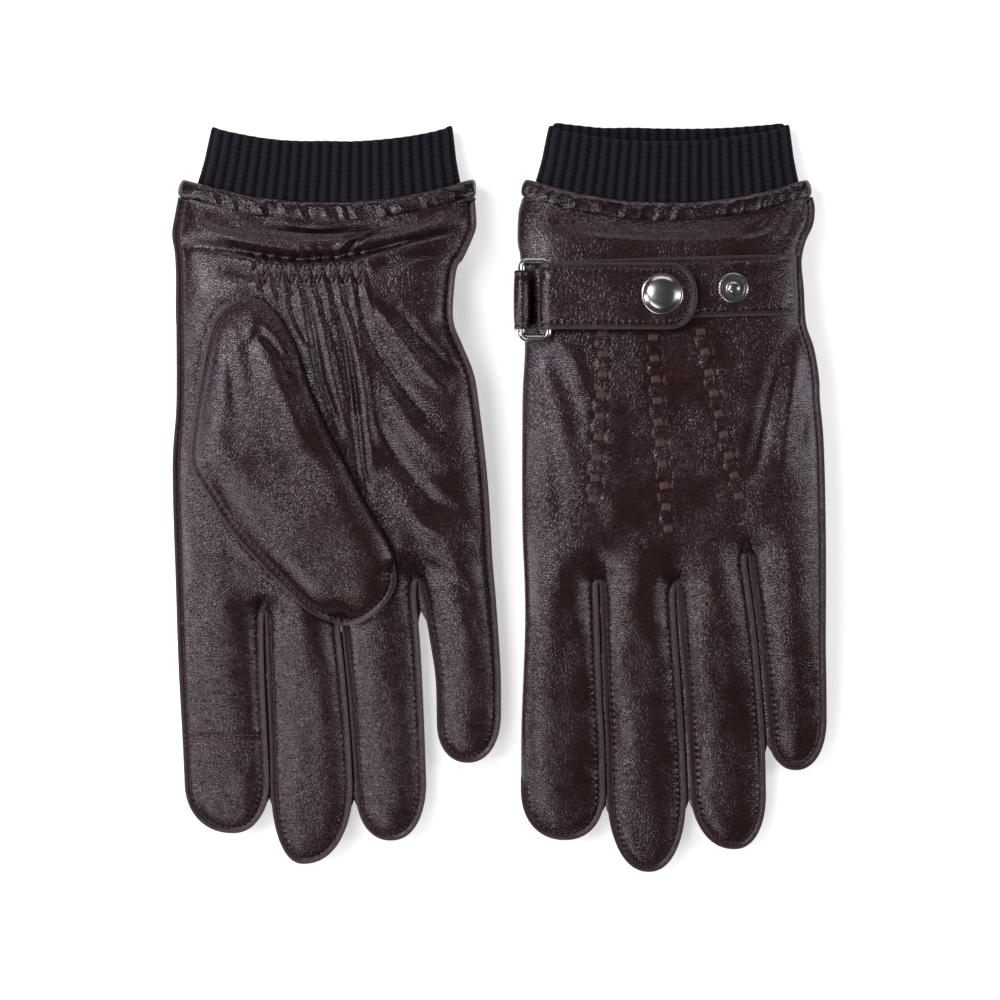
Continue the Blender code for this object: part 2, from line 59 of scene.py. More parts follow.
FINGER_CUT = -43.0        # the hand's leather ends and the fingers' begins
FINGER_BEND = (-43.0, -60.0)    # the stretch over which a finger bends
TOUCH_SEAM = -84.6        # where the touch panel is sewn to the index finger
CUFF_EDGE = 105.9         # where the leather ends and the hem begins
HALF_THICK = 6.6          # half of the puffed hand's thickness
LACE_HALF = 1.95          # half of a lacing strip's width
FOLD_DEPTH = 1.4          # the palm's folds, as a share of their drawn heights
STITCH = 2.35             # from one stitch of a seam to the next


class Face(Enum):
    """The two faces of a glove, with the sign of w on each."""

    BACK = 1
    PALM = -1


class Finish(Enum):
    """The finishes of the pair."""

    LEATHER = "leather"
    LACING = "lacing"
    KNIT = "knit"
    LINING = "lining"
    ELASTIC = "elastic"
    METAL = "metal"
    THREAD = "thread"


@dataclass(frozen=True)
class Digit:
    """One finger in the flat pattern.

    left and right run from the palm to the shoulder and back, and crotch is the point up to the next finger.
    """

    name: str
    left: tuple
    apex: tuple
    right: tuple
    crotch: tuple = None


@dataclass(frozen=True)
class Pattern:
    """One glove's flat pattern: its sides, its fingers and how it lies on the table."""

    side: str
    palm_up: bool
    left: tuple
    digits: tuple
    right: tuple
    cuff_span: tuple      # the hem's left and right edge
    levels: tuple         # (y, height of the hand's middle over the table)
    folded_left: bool     # the left side is a fold, with no seam
    seed: int


RIGHT = Pattern(
    "right", True,
    ((-52.7, 105.9), (-53.7, 99.6), (-54.6, 92.6), (-53.4, 84.5), (-53.0, 69.8), (-53.0, 34.8), (-54.6, 10.3),
     (-53.7, -35.2), (-52.9, -59.3)),
    (Digit("index", ((-51.6, -83.5), (-50.9, -98.2)), (-33.8, -116.9),
           ((-21.2, -97.8), (-21.9, -84.2), (-22.6, -70.2), (-23.2, -52.7), (-23.2, -42.2)), (-22.9, -39.0)),
     Digit("middle", ((-22.6, -42.2), (-22.2, -52.7), (-21.5, -70.2), (-20.9, -84.2), (-20.7, -97.5)),
           (-9.3, -127.7), ((8.0, -99.9), (7.2, -84.2), (5.8, -66.7), (4.4, -52.7), (3.6, -45.7)),
           (3.9, -42.2)),
     Digit("ring", ((4.3, -45.7), (5.1, -52.7), (6.5, -66.7), (7.9, -84.2), (9.1, -101.0)), (21.5, -119.5),
           ((33.8, -99.6), (32.9, -75.4), (31.7, -51.3), (30.4, -35.2), (30.4, -31.0)), (30.9, -27.8)),
     Digit("little", ((31.5, -31.0), (32.9, -36.6), (35.5, -51.3), (37.2, -63.2), (37.6, -77.9)),
           (48.5, -92.2),
           ((60.2, -74.4),))),
    ((60.0, -59.3), (58.4, -35.2), (57.2, -21.2), (55.5, 6.8), (52.3, 34.8), (50.5, 44.6), (46.7, 54.1),
     (43.5, 62.8), (43.9, 75.1), (45.0, 81.7), (47.0, 84.5), (51.2, 94.3), (51.4, 100.6), (50.9, 105.9)),
    (-51.5, 50.5), ((-49.0, 6.6), (50.0, 15.2), (86.0, 15.2), (131.3, 6.0)), False, 3)
LEFT = Pattern(
    "left", False,
    ((-53.0, 105.9), (-54.4, 100.3), (-54.7, 90.1), (-53.6, 82.8), (-52.2, 54.8), (-53.0, 34.8),
     (-53.1, -6.8),
     (-52.2, -31.7), (-52.2, -48.8)),
    (Digit("index", ((-53.3, -78.9), (-53.5, -101.7)), (-37.9, -119.5),
           ((-23.9, -102.4), (-24.4, -84.2), (-25.3, -70.2), (-26.0, -52.7), (-26.6, -35.2), (-26.8, -31.0)),
           (-26.4, -28.0)),
     Digit("middle", ((-26.0, -31.0), (-25.7, -35.2), (-25.1, -52.7), (-24.3, -70.2), (-23.4, -84.2),
                      (-23.1, -101.7)), (-8.5, -130.7),
           ((4.6, -103.4), (3.6, -84.2), (2.3, -66.7), (0.9, -49.2), (0.1, -36.9), (0.0, -33.4)),
           (0.4, -30.3)),
     Digit("ring", ((0.9, -33.4), (1.2, -36.9), (2.3, -49.2), (4.0, -66.7), (5.2, -84.2), (6.2, -99.9)),
           (21.6, -122.7), ((32.6, -103.4), (32.1, -87.7), (30.7, -70.2), (28.6, -49.2), (26.4, -31.7),
                            (25.0, -22.2)), (25.4, -18.7)),
     Digit("little", ((25.9, -22.2), (27.3, -31.7), (29.9, -49.2), (31.8, -66.7), (33.3, -80.0)),
           (42.9, -94.8),
           ((53.5, -77.2),))),
    ((53.1, -62.5), (52.7, -48.1), (52.7, -14.9), (52.0, 18.0), (50.6, 34.8), (50.3, 42.5), (48.5, 53.0),
     (45.8, 61.4), (45.0, 73.7), (44.3, 83.1), (45.8, 90.1), (48.5, 96.1), (49.2, 102.0), (48.5, 105.9)),
    (-52.1, 47.0), ((-100.0, 5.1), (-45.0, 15.2), (86.0, 15.2), (131.3, 6.0)), True, 11)

THUMB_SEAM = ((-24.5, 70.2), (-28.5, 70.5), (-36.2, 66.0), (-40.4, 59.3), (-43.2, 48.1), (-45.7, 34.8),
              (-47.8, 20.8),
              (-48.1, 12.4), (-45.7, 7.5), (-40.1, -0.9), (-32.8, -12.1), (-19.4, -26.8), (-7.9, -38.0),
              (1.6, -42.9), (10.3, -43.2), (19.4, -36.9), (23.6, -29.2), (22.9, -19.8))
THUMB_FOLD = ((18.7, -10.7), (12.4, -0.2), (4.7, 15.2), (-4.8, 34.8), (-12.4, 56.9), (-20.5, 68.1))
THUMB_HINGE = ((-33.8, -10.7), (4.7, 15.2))
THUMB_HEIGHTS = ((-45.0, 8.3), (13.0, 8.0), (35.0, 7.2), (50.0, 6.2), (59.0, 5.0), (71.0, 2.4))


def ramp(value: Array, start: float, end: float) -> Array:
    """Rise smoothly from 0 at start to 1 at end."""
    t = np.clip((np.asarray(value, float) - start) / (end - start), 0.0, 1.0)
    return t * t * (3.0 - 2.0 * t)


def bell(value: Array, width: float) -> Array:
    """Return 1 at 0, falling off smoothly over width."""
    return np.exp(-(np.asarray(value, float) / width) ** 2)


def noise(x: Array, y: Array, scale: float, seed: int) -> Array:
    """Return smooth random heights from -1 to 1, about scale millimetres apart.

    Args:
        x, y: the places.
        scale: the distance between two random heights.
        seed: of the random heights.

    Returns:
        The height of each.
    """
    table = np.random.default_rng(seed).uniform(-1.0, 1.0, (64, 64))
    u, v = np.asarray(x, float) / scale + 31.7, np.asarray(y, float) / scale + 17.3
    i, j = np.floor(u).astype(int), np.floor(v).astype(int)
    u, v = u - i, v - j
    u, v = u * u * (3 - 2 * u), v * v * (3 - 2 * v)
    near = table[i % 64, j % 64] * (1 - u) + table[(i + 1) % 64, j % 64] * u
    far = table[i % 64, (j + 1) % 64] * (1 - u) + table[(i + 1) % 64, (j + 1) % 64] * u
    return near * (1 - v) + far * v


def smooth_curve(knots: tuple, steps: int = 10) -> Array:
    """Run a smooth curve through the knots.

    Args:
        knots: at least two points.
        steps: how many points each stretch gets.

    Returns:
        The points as rows.
    """
    knots = np.asarray(knots, float)
    knots = np.vstack([2 * knots[0] - knots[1], knots, 2 * knots[-1] - knots[-2]])
    t = np.linspace(0.0, 1.0, steps, endpoint=False)[:, None]
    runs = []
    for a, b, c, d in zip(knots, knots[1:], knots[2:], knots[3:]):
        runs.append(0.5 * (2 * b + (c - a) * t + (2 * a - 5 * b + 4 * c - d) * t ** 2
                           + (3 * b - a - 3 * c + d) * t ** 3))
    runs.append(knots[-2:-1])
    return np.vstack(runs)


def resample(line: Array, step: float) -> Array:
    """Return points a step apart along a line, with its ends kept.

    Args:
        line: its points as rows.
        step: the distance wanted.

    Returns:
        The new points as rows.
    """
    line = np.asarray(line, float)
    along = np.concatenate([[0.0], np.cumsum(np.linalg.norm(np.diff(line, axis=0), axis=1))])
    count = max(2, int(round(along[-1] / step)) + 1)
    spots = np.linspace(0.0, along[-1], count)
    return np.stack([np.interp(spots, along, line[:, k]) for k in range(line.shape[1])], 1)


def quarter(start: tuple, end: tuple, power: float = 2.2, steps: int = 16) -> list:
    """Return a quarter of a rounded tip, from a shoulder to the apex.

    Args:
        start, end: the shoulder and the apex.
        power: 2 for an ellipse, and more for a squarer tip.
        steps: how many points.

    Returns:
        The points, without the shoulder.
    """
    turn = np.linspace(0.0, math.pi / 2, steps)[1:]
    fold = 2.0 / power
    x = end[0] + (start[0] - end[0]) * np.cos(turn) ** fold
    y = start[1] + (end[1] - start[1]) * np.sin(turn) ** fold
    return [tuple(p) for p in np.stack([x, y], 1)]


def line_distance(x: Array, y: Array, line: Array) -> tuple:
    """Return each point's distance to a line, and how far along it the nearest place is, from 0 to 1.

    Args:
        x, y: the points.
        line: its points as rows.

    Returns:
        The distances, and the shares of the line.
    """
    line = np.asarray(line, float)
    lengths = np.linalg.norm(np.diff(line, axis=0), axis=1)
    starts = np.concatenate([[0.0], np.cumsum(lengths)])
    best = np.full(np.shape(x), 1e9)
    place = np.zeros(np.shape(x))
    for k, (a, b) in enumerate(zip(line, line[1:])):
        d = b - a
        t = np.clip(((x - a[0]) * d[0] + (y - a[1]) * d[1]) / (d @ d), 0.0, 1.0)
        away = np.hypot(x - a[0] - t * d[0], y - a[1] - t * d[1])
        nearer = away < best
        best = np.where(nearer, away, best)
        place = np.where(nearer, (starts[k] + t * lengths[k]) / starts[-1], place)
    return best, place


@dataclass(frozen=True)
class Crease:
    """A fold in the leather: a line, how wide it is and how high, or how deep when negative."""

    line: tuple
    width: float
    height: float

    def lift(self, x: Array, y: Array) -> Array:
        """Return the height that this fold adds, fading out at both of its ends."""
        away, place = line_distance(x, y, self.line)
        return self.height * bell(away, self.width) * np.sin(math.pi * np.clip(place, 0.04, 0.96)) ** 0.6


@dataclass
class Drape:
    """Lays the flat pattern of one glove on the table.

    Args:
        pattern: the glove's flat pattern.
        centre_x: where the glove's centre line is on the table, in millimetres.
    """

    pattern: Pattern
    centre_x: float

    def level(self, y: Array) -> Array:
        """Return the height of the hand's middle over the table, with no kinks along the glove.

        Args:
            y: places along the hand.

        Returns:
            The height of each, in millimetres.
        """
        ys, heights = zip(*self.pattern.levels)
        shares = np.array([0.06, 0.12, 0.2, 0.24, 0.2, 0.12, 0.06])
        return sum(share * np.interp(y + shift, ys, heights)
                   for share, shift in zip(shares, (-24.0, -16.0, -8.0, 0.0, 8.0, 16.0, 24.0)))

    @property
    def up(self) -> float:
        """The sign of w on the face that is up."""
        return -1.0 if self.pattern.palm_up else 1.0

    def lay(self, x: Array, y: Array, w: Array, straight: float = 0.0) -> Array:
        """Put pattern points on the table.

        Args:
            x, y, w: the points, in millimetres.
            straight: 1 where the cuff's edge doesn't dip in the middle.

        Returns:
            The points as rows, in metres.
        """
        x, y, w = np.broadcast_arrays(*(np.asarray(v, float) for v in (x, y, w)))
        left, right = self.pattern.cuff_span
        across = np.clip((x - (left + right) / 2) / ((right - left) / 2), -1.0, 1.0)
        dip = 9.0 * ramp(y, 88.0, 106.0) - 4.0 * ramp(y, 106.0, 131.3)
        z = self.level(y) + self.up * w
        return np.stack([x + self.centre_x, y - dip * (1.0 - across ** 2) * (1.0 - straight), z], -1) * MM

    def spot(self, x: float, y: float, w: float) -> tuple:
        """Return one pattern point on the table, as a tuple."""
        return tuple(float(v) for v in self.lay(x, y, w))


@dataclass
class Patch:
    """A piece of surface on the table, before it becomes an object."""

    points: Array
    faces: list
    normals: Array
    rest: Array
    raw: Array
    crease: Array
    regions: Array = None
    seam: Array = None

    def __post_init__(self) -> None:
        """Leave out the seam where there is none near."""
        if self.seam is None:
            self.seam = np.tile((0.0, 99.0, 0.0), (len(self.points), 1))

    def part(self, region: int) -> "Patch":
        """Return the faces of one region as a patch of their own.

        Args:
            region: its number.

        Returns:
            The patch, with only the points it needs.
        """
        chosen = [face for face, own in zip(self.faces, self.regions) if own == region]
        used = np.unique(np.concatenate([np.asarray(face) for face in chosen]))
        number = np.full(len(self.points), -1)
        number[used] = np.arange(len(used))
        faces = [tuple(int(number[i]) for i in face) for face in chosen]
        return Patch(self.points[used], faces, self.normals[used], self.rest[used], self.raw[used],
                     self.crease[used], seam=self.seam[used])


def vertex_normals(points: Array, faces: list) -> Array:
    """Return smooth normals of a mesh of triangles and quads.

    Args:
        points: rows of (x, y, z).
        faces: tuples of three or four indices.

    Returns:
        One unit normal for each point.
    """
    normals = np.zeros_like(points)
    for size in (3, 4):
        group = np.array([face for face in faces if len(face) == size])
        if len(group) == 0:
            continue
        if size == 3:
            a, b, c = (points[group[:, k]] for k in range(3))
            turn = np.cross(b - a, c - a)
        else:
            a, b, c, d = (points[group[:, k]] for k in range(4))
            turn = np.cross(c - a, d - b)
        for k in range(size):
            np.add.at(normals, group[:, k], turn)
    lengths = np.linalg.norm(normals, axis=1, keepdims=True)
    return normals / np.maximum(lengths, 1e-15)


def join(patches: list) -> Patch:
    """Join several patches into one, without welding them.

    Args:
        patches: the patches, in order.

    Returns:
        The joined patch.
    """
    faces, first = [], 0
    for patch in patches:
        faces += [tuple(i + first for i in face) for face in patch.faces]
        first += len(patch.points)
    stack = {name: np.concatenate([getattr(patch, name) for patch in patches])
             for name in ("points", "normals", "rest", "raw", "crease", "seam")}
    regions = [patch.regions for patch in patches]
    whole = np.concatenate(regions) if all(r is not None for r in regions) else None
    return Patch(faces=faces, regions=whole, **stack)


def grid_patch(points: Array, rest: Array, wrap: bool = False, flip: bool = False, raw: float = 0.0) -> Patch:
    """Make a patch from a grid of points.

    Args:
        points: rows by columns of table points.
        rest: the same grid in the flat, for the grain.
        wrap: the last column joins the first.
        flip: turn the faces over.
        raw: how much of a raw edge this is, from 0 to 1.

    Returns:
        The patch.
    """
    points, rest = np.asarray(points, float), np.asarray(rest, float)
    rows, columns = points.shape[:2]
    faces = []
    for r in range(rows - 1):
        for c in range(columns if wrap else columns - 1):
            near, far = r * columns, (r + 1) * columns
            face = (near + c, near + (c + 1) % columns, far + (c + 1) % columns, far + c)
            faces.append(face[::-1] if flip else face)
    flat = points.reshape(-1, 3)
    count = len(flat)
    return Patch(flat, faces, vertex_normals(flat, faces), rest.reshape(-1, 3), np.full(count, float(raw)),
                 np.zeros(count))


class Outline:
    """The edge of a pattern piece, run anticlockwise, with a fin of raw-edged seam where fin is 1.

    Args:
        line: the edge's points.
        fin: how much of a raw-edged seam each point has.
        open_run: this many points at the end of the line lie on an open edge, with no seam.
    """

    def __init__(self, line: Array, fin: Array, open_run: int = 0) -> None:
        """Find the directions along the edge, and the places near it."""
        self.line = np.asarray(line, float)
        self.fin = np.asarray(fin, float)
        self.sewn = len(self.line) - open_run
        ahead = np.roll(self.line, -1, axis=0) - np.roll(self.line, 1, axis=0)
        if open_run:
            ahead[0] = self.line[1] - self.line[0]
            ahead[self.sewn - 1] = self.line[self.sewn - 1] - self.line[self.sewn - 2]
        self.along = ahead / np.maximum(np.linalg.norm(ahead, axis=1, keepdims=True), 1e-9)
        self.inward = np.stack([-self.along[:, 1], self.along[:, 0]], 1)
        dense = []
        last = self.sewn - 1 if open_run else self.sewn
        for k in range(last):
            a, b = self.line[k], self.line[(k + 1) % len(self.line)]
            dense += [(*(a + (b - a) * t), self.fin[k]) for t in (0.0, 0.33, 0.67)]
        self.dense = np.array(dense)
        gaps = np.linalg.norm(np.diff(self.dense[:, :2], axis=0), axis=1)
        self.walk = np.concatenate([[0.0], np.cumsum(gaps)])
        self.tree = KDTree(len(dense))
        for k, (x, y, _) in enumerate(dense):
            self.tree.insert((x, y, 0.0), k)
        self.tree.balance()

    def measure(self, x: Array, y: Array) -> tuple:
        """Return each point's distance to the sewn edge, and the fin of the nearest place on it.

        Args:
            x, y: the points.

        Returns:
            The distances and the fins, each shaped as x.
        """
        found = [self.tree.find((a, b, 0.0)) for a, b in zip(np.ravel(x), np.ravel(y))]
        distance = np.array([hit[2] for hit in found])
        fin = self.dense[[hit[1] for hit in found], 2]
        return distance.reshape(np.shape(x)), fin.reshape(np.shape(x))

    def walked(self, x: Array, y: Array) -> Array:
        """Return how far along the edge the place nearest to each point is."""
        return self.walk[[self.tree.find((a, b, 0.0))[1] for a, b in zip(x, y)]]

    def gaps(self, widest: float = 3.0) -> Array:
        """Return the free space beside each point, up to the leather across it, or 0 with none near.

        Args:
            widest: the widest space that still counts.

        Returns:
            The space beside each point of the outline.
        """
        found = np.zeros(len(self.line))
        for gap in np.arange(widest, 0.2, -0.3):
            spots = self.line - self.inward * gap
            found = np.where(self.inside(spots[:, 0], spots[:, 1]), gap, found)
        return found

    def inside(self, x: Array, y: Array) -> Array:
        """Return which points lie inside the outline.

        Args:
            x, y: the points.

        Returns:
            True for each point inside.
        """
        within = np.zeros(len(x), bool)
        for a, b in zip(self.line, np.roll(self.line, -1, axis=0)):
            if a[1] != b[1]:
                crosses = (y >= min(a[1], b[1])) & (y < max(a[1], b[1]))
                within ^= crosses & (x < a[0] + (y - a[1]) * (b[0] - a[0]) / (b[1] - a[1]))
        return within

    def mesh(self, step: float, rings: tuple, zones: tuple = (), cuts: tuple = ()) -> tuple:
        """Fill the outline with triangles.

        Args:
            step: how far apart the points inside are.
            rings: distances from the edge that get a row of points each.
            zones: (left, right, low, high, step) of places with finer points.
            cuts: pairs of outline points to join by an edge.

        Returns:
            The flat points and the triangles; the outline's own points come first.
        """
        points = [self.line]
        for k, offset in enumerate(rings):
            spots = (self.line + self.inward * offset)[:self.sewn:1 if offset < 3.0 else 2]
            away, _ = self.measure(spots[:, 0], spots[:, 1])
            points.append(spots[(away > 0.93 * offset) & self.inside(spots[:, 0], spots[:, 1])])
        (left, low), (right, high) = self.line.min(axis=0), self.line.max(axis=0)
        grids = [(left, right, low, high, step), *zones]
        for k, (left, right, low, high, gap) in enumerate(grids):
            xs, ys = np.arange(left, right, gap), np.arange(low, high, gap * 0.866)
            x, y = np.meshgrid(xs, ys)
            x[1::2] += gap / 2
            x, y = x.ravel(), y.ravel()
            keep = self.inside(x, y)
            x, y = x[keep], y[keep]
            away, _ = self.measure(x, y)
            keep = away > rings[-1] + 0.6 * step
            if k == 0:
                for a, b, c, d, _ in zones:
                    keep &= ~((x > a - 0.4) & (x < b + 0.4) & (y > c - 0.4) & (y < d + 0.4))
            points.append(np.stack([x[keep], y[keep]], 1))
        count = len(self.line)
        edges = [(k, (k + 1) % count) for k in range(count)]
        fill = np.vstack(points[1:])
        rows, first = [], count
        for a, b in cuts:
            start, end = self.line[a], self.line[b]
            row = resample([start, end], 1.0)[1:-1]
            chain = [a, *range(first, first + len(row)), b]
            edges += list(zip(chain, chain[1:]))
            first += len(row)
            rows.append(row)
            fill = fill[line_distance(fill[:, 0], fill[:, 1], [start, end])[0] > 0.45]
        flat = np.vstack([self.line, *rows, fill])
        found, _, faces, origin, _, _ = delaunay_2d_cdt([Vector(p) for p in flat], edges, [], 1, 1e-6)
        number = np.full(len(flat), -1)
        for new, olds in enumerate(origin):
            for old in olds:
                number[old] = new
        order = np.concatenate([number[:count], np.setdiff1d(np.arange(len(found)), number[:count])])
        place = np.empty(len(found), int)
        place[order] = np.arange(len(order))
        spots = np.array([tuple(v) for v in found])[order]
        triangles = []
        for a, b, c in place[np.array([tuple(face) for face in faces])]:
            u, v = spots[b] - spots[a], spots[c] - spots[a]
            if u[0] * v[1] <= u[1] * v[0]:
                b, c = c, b
            triangles.append((int(a), int(b), int(c)))
        return spots, triangles


@dataclass
class Shell:
    """A leather shell of two faces sewn together along an outline.

    Args:
        drape: lays the pattern on the table.
        outline: the shell's edge.
        heights: for the upper and for the lower face, a function of (x, y, distance to the edge, fin) that
            returns w.
        seam: a function of (x, y) that returns the w of the seam's upper and lower outer faces.
        fin_thick: how thick each leather is at the raw edge, at most.
        wall_in: how far the side is recessed between the raw edges.
    """

    drape: Drape
    outline: Outline
    heights: list
    seam: Callable
    fin_thick: float = 1.4
    wall_in: float = 1.6

    def face(self, upper: bool, step: float, rings: tuple, zones: tuple, cuts: tuple,
             region: Callable) -> Patch:
        """Make one face of the shell as a patch.

        Args:
            upper: make the upper face.
            step, rings, zones, cuts: as in Outline.mesh.
            region: numbers the faces.

        Returns:
            The face.
        """
        flat, triangles = self.outline.mesh(step, rings, zones, cuts)
        x, y = flat.T
        away, fin = self.outline.measure(x, y)
        count = len(self.outline.line)
        fin[:count] = self.outline.fin
        w = self.heights[0 if upper else 1](x, y, away, fin)
        points = self.drape.lay(x, y, w)
        if not upper:
            triangles = [(a, c, b) for a, b, c in triangles]
        normals = vertex_normals(points, triangles)
        sewn = self.outline.sewn
        outward = np.zeros((sewn, 3))
        outward[:, :2] = -self.outline.inward[:sewn]
        share = fin[:sewn, None]
        blend = share * normals[:sewn] + (1.0 - share) * outward
        normals[:sewn] = blend / np.linalg.norm(blend, axis=1, keepdims=True)
        middle = flat[np.array(triangles)].mean(axis=1)
        crease = ramp(-y, 30.0, 80.0) * np.where(w < 0.0, 1.0, 0.25)
        seam = np.stack([self.outline.walked(x, y), away, fin], 1)
        return Patch(points, triangles, normals, np.stack([x, y, w], 1), fin * (1.0 - ramp(away, 0.15, 0.5)),
                     crease, region(middle[:, 0], middle[:, 1], upper), seam)

    def walls(self, region: Callable) -> Patch:
        """Make the seam's raw edges, and the recessed side between them, as a patch.

        Args:
            region: numbers the faces.

        Returns:
            The walls, with gaps where there is no fin.
        """
        line, inward, fin = self.outline.line, self.outline.inward, self.outline.fin
        top, low = self.seam(line[:, 0], line[:, 1])
        middle = (top + low) / 2
        sign = np.sign(top - low)
        thick = np.minimum(self.fin_thick, np.abs(top - low) * 0.45)
        gap = self.outline.gaps()
        wall = np.where(gap > 0.0, -0.55 * gap, self.wall_in)
        wall = np.convolve(np.pad(wall, 4, mode="edge"), np.full(9, 1.0 / 9.0), mode="valid")
        rows = []
        for into, w in ((0.0, top), (0.0, top - sign * thick), (wall, top - sign * (thick + 0.2)),
                        (wall, low + sign * (thick + 0.2)), (0.0, low + sign * thick), (0.0, low)):
            spots = line + inward * (into * fin)[:, None]
            rows.append(np.stack([spots[:, 0], spots[:, 1], middle + (w - middle) * fin], 1))
        sewn = self.outline.sewn
        count = len(line)
        last = sewn - 1 if sewn < count else count
        patches = []
        for k in range(5):
            pair = [rows[k], rows[k + 1]]
            points = np.concatenate([self.drape.lay(*row.T) for row in pair])
            faces, regions = [], []
            for i in range(last):
                j = (i + 1) % count
                if max(fin[i], fin[j]) > 0.01:
                    faces.append((i, i + count, j + count, j))
                    halfway = (line[i] + line[j]) / 2
                    regions.append(int(region(halfway[:1], halfway[1:], None)[0]))
            patches.append(Patch(points, faces, vertex_normals(points, faces), np.concatenate(pair),
                                 np.full(len(points), 1.0 if k in (0, 4) else 0.0), np.zeros(len(points)),
                                 np.array(regions)))
        return join(patches)

    def build(self, region: Callable, up_step: float = 1.25, down_step: float = 2.6, zones: tuple = (),
              down_zones: tuple = (), cuts: tuple = ()) -> Patch:
        """Make the whole shell as one patch with its regions marked.

        Args:
            region: numbers the faces.
            up_step, down_step: the distance between points on each face.
            zones, down_zones, cuts: as in Outline.mesh.

        Returns:
            The shell.
        """
        close = (0.3, 1.0, 1.7, 2.0, 2.4, 3.0, 3.9, 5.2)
        upper = self.face(True, up_step, close, zones, cuts, region)
        lower = self.face(False, down_step, (1.7, 2.1, 2.9, 4.4), down_zones, cuts, region)
        return join([upper, lower, self.walls(region)])

    def stitches(self, upper: bool, spacing: float = STITCH, inset: float = 2.0) -> Array:
        """Return the places of the seam's stitches.

        Args:
            upper: on the upper face.
            spacing: from one stitch to the next.
            inset: how far the row is from the edge.

        Returns:
            Rows of (x, y, w, along x, along y).
        """
        line, inward, along = self.outline.line, self.outline.inward, self.outline.along
        sewn = self.outline.sewn
        spots = line[:sewn] + inward[:sewn] * inset
        walk = np.concatenate([[0.0], np.cumsum(np.linalg.norm(np.diff(line[:sewn], axis=0), axis=1))])
        marks = np.arange(spacing, walk[-1] - spacing, spacing)
        columns = [spots[:, 0], spots[:, 1], along[:sewn, 0], along[:sewn, 1], self.outline.fin[:sewn]]
        x, y, ax, ay, fin = (np.interp(marks, walk, column) for column in columns)
        away, _ = self.outline.measure(x, y)
        keep = (fin > 0.7) & (away > 0.85 * inset)
        faces = self.seam(x, y)
        w = faces[0 if upper else 1]
        sink = -0.2 * np.sign(w - sum(faces) / 2)
        return np.stack([x, y, w + sink, ax, ay], 1)[keep]


class Value:
    """One output in a material's nodes, with arithmetic written as in plain maths."""

    def __init__(self, tree: bpy.types.NodeTree, socket: bpy.types.NodeSocket) -> None:
        """Wrap one socket."""
        self.tree, self.socket = tree, socket

    def _math(self, operation: str, first: "Value", second: "Value" = None) -> "Value":
        """Add a Math node.

        Args:
            operation: the node's operation.
            first, second: constants or Values.

        Returns:
            Its output.
        """
        node = self.tree.nodes.new("ShaderNodeMath")
        node.operation = operation
        for place, value in enumerate((first, second)):
            if isinstance(value, Value):
                self.tree.links.new(value.socket, node.inputs[place])
            elif value is not None:
                node.inputs[place].default_value = value
        return Value(self.tree, node.outputs[0])

    def __add__(self, other: float) -> "Value":
        """Add to this value."""
        return self._math("ADD", self, other)

    def __radd__(self, other: float) -> "Value":
        """Add this value."""
        return self._math("ADD", other, self)

    def __sub__(self, other: float) -> "Value":
        """Take from this value."""
        return self._math("SUBTRACT", self, other)

    def __rsub__(self, other: float) -> "Value":
        """Take this value away."""
        return self._math("SUBTRACT", other, self)

    def __mul__(self, other: float) -> "Value":
        """Multiply this value."""
        return self._math("MULTIPLY", self, other)

    def __rmul__(self, other: float) -> "Value":
        """Multiply by this value."""
        return self._math("MULTIPLY", other, self)

    def sine(self) -> "Value":
        """Return the sine of this value."""
        return self._math("SINE", self)

    def size(self) -> "Value":
        """Return this value without its sign."""
        return self._math("ABSOLUTE", self)

    def kept(self, low: float, high: float) -> "Value":
        """Return this value, held between low and high."""
        return self._math("MINIMUM", self._math("MAXIMUM", self, low), high)


class Nodes:
    """Builds one material's nodes."""

    def __init__(self, name: str) -> None:
        """Start a material."""
        self.material = bpy.data.materials.new(name)
        self.material.use_nodes = True
        self.tree = self.material.node_tree
        self.shader = self.tree.nodes["Principled BSDF"]

    def add(self, kind: str, output: int = 0, settings: dict = None, **inputs: Value) -> Value:
        """Add a node.

        Args:
            kind: the node's type, without the ShaderNode in front.
            output: which output to return.
            settings: the node's own properties.
            inputs: its sockets by name, as constants or Values.

        Returns:
            The output as a Value.
        """
        node = self.tree.nodes.new("ShaderNode" + kind)
        for name, value in (settings or {}).items():
            setattr(node, name, value)
        for name, value in inputs.items():
            socket = node.inputs[name.replace("_", " ")]
            if isinstance(value, Value):
                self.tree.links.new(value.socket, socket)
            else:
                socket.default_value = value
        return Value(self.tree, node.outputs[output])

    def set(self, **inputs: Value) -> None:
        """Set the shader's own sockets, as constants or Values."""
        for name, value in inputs.items():
            socket = self.shader.inputs[name.replace("_", " ")]
            if isinstance(value, Value):
                self.tree.links.new(value.socket, socket)
            else:
                socket.default_value = value

    def attribute(self, name: str, output: str = "Fac") -> Value:
        """Return a value that is stored on the mesh.

        Args:
            name: the attribute's name.
            output: the output to read.

        Returns:
            The attribute as a Value.
        """
        node = self.tree.nodes.new("ShaderNodeAttribute")
        node.attribute_name = name
        return Value(self.tree, node.outputs[output])

    def mix(self, share: Value, first: Value, second: Value) -> Value:
        """Mix two colours.

        Args:
            share: how much of the second colour there is.
            first, second: the colours, as constants or Values.

        Returns:
            The mixed colour.
        """
        node = self.tree.nodes.new("ShaderNodeMix")
        node.data_type = "RGBA"
        for place, value in ((0, share), (6, first), (7, second)):
            if isinstance(value, Value):
                self.tree.links.new(value.socket, node.inputs[place])
            else:
                node.inputs[place].default_value = value if place == 0 else (*value, 1.0)
        return Value(self.tree, node.outputs[2])

    def bump(self, height: Value, distance: float, strength: float = 1.0) -> None:
        """Feed a height into the shader's normal."""
        self.set(Normal=self.add("Bump", Height=height, Distance=distance * MM, Strength=strength))


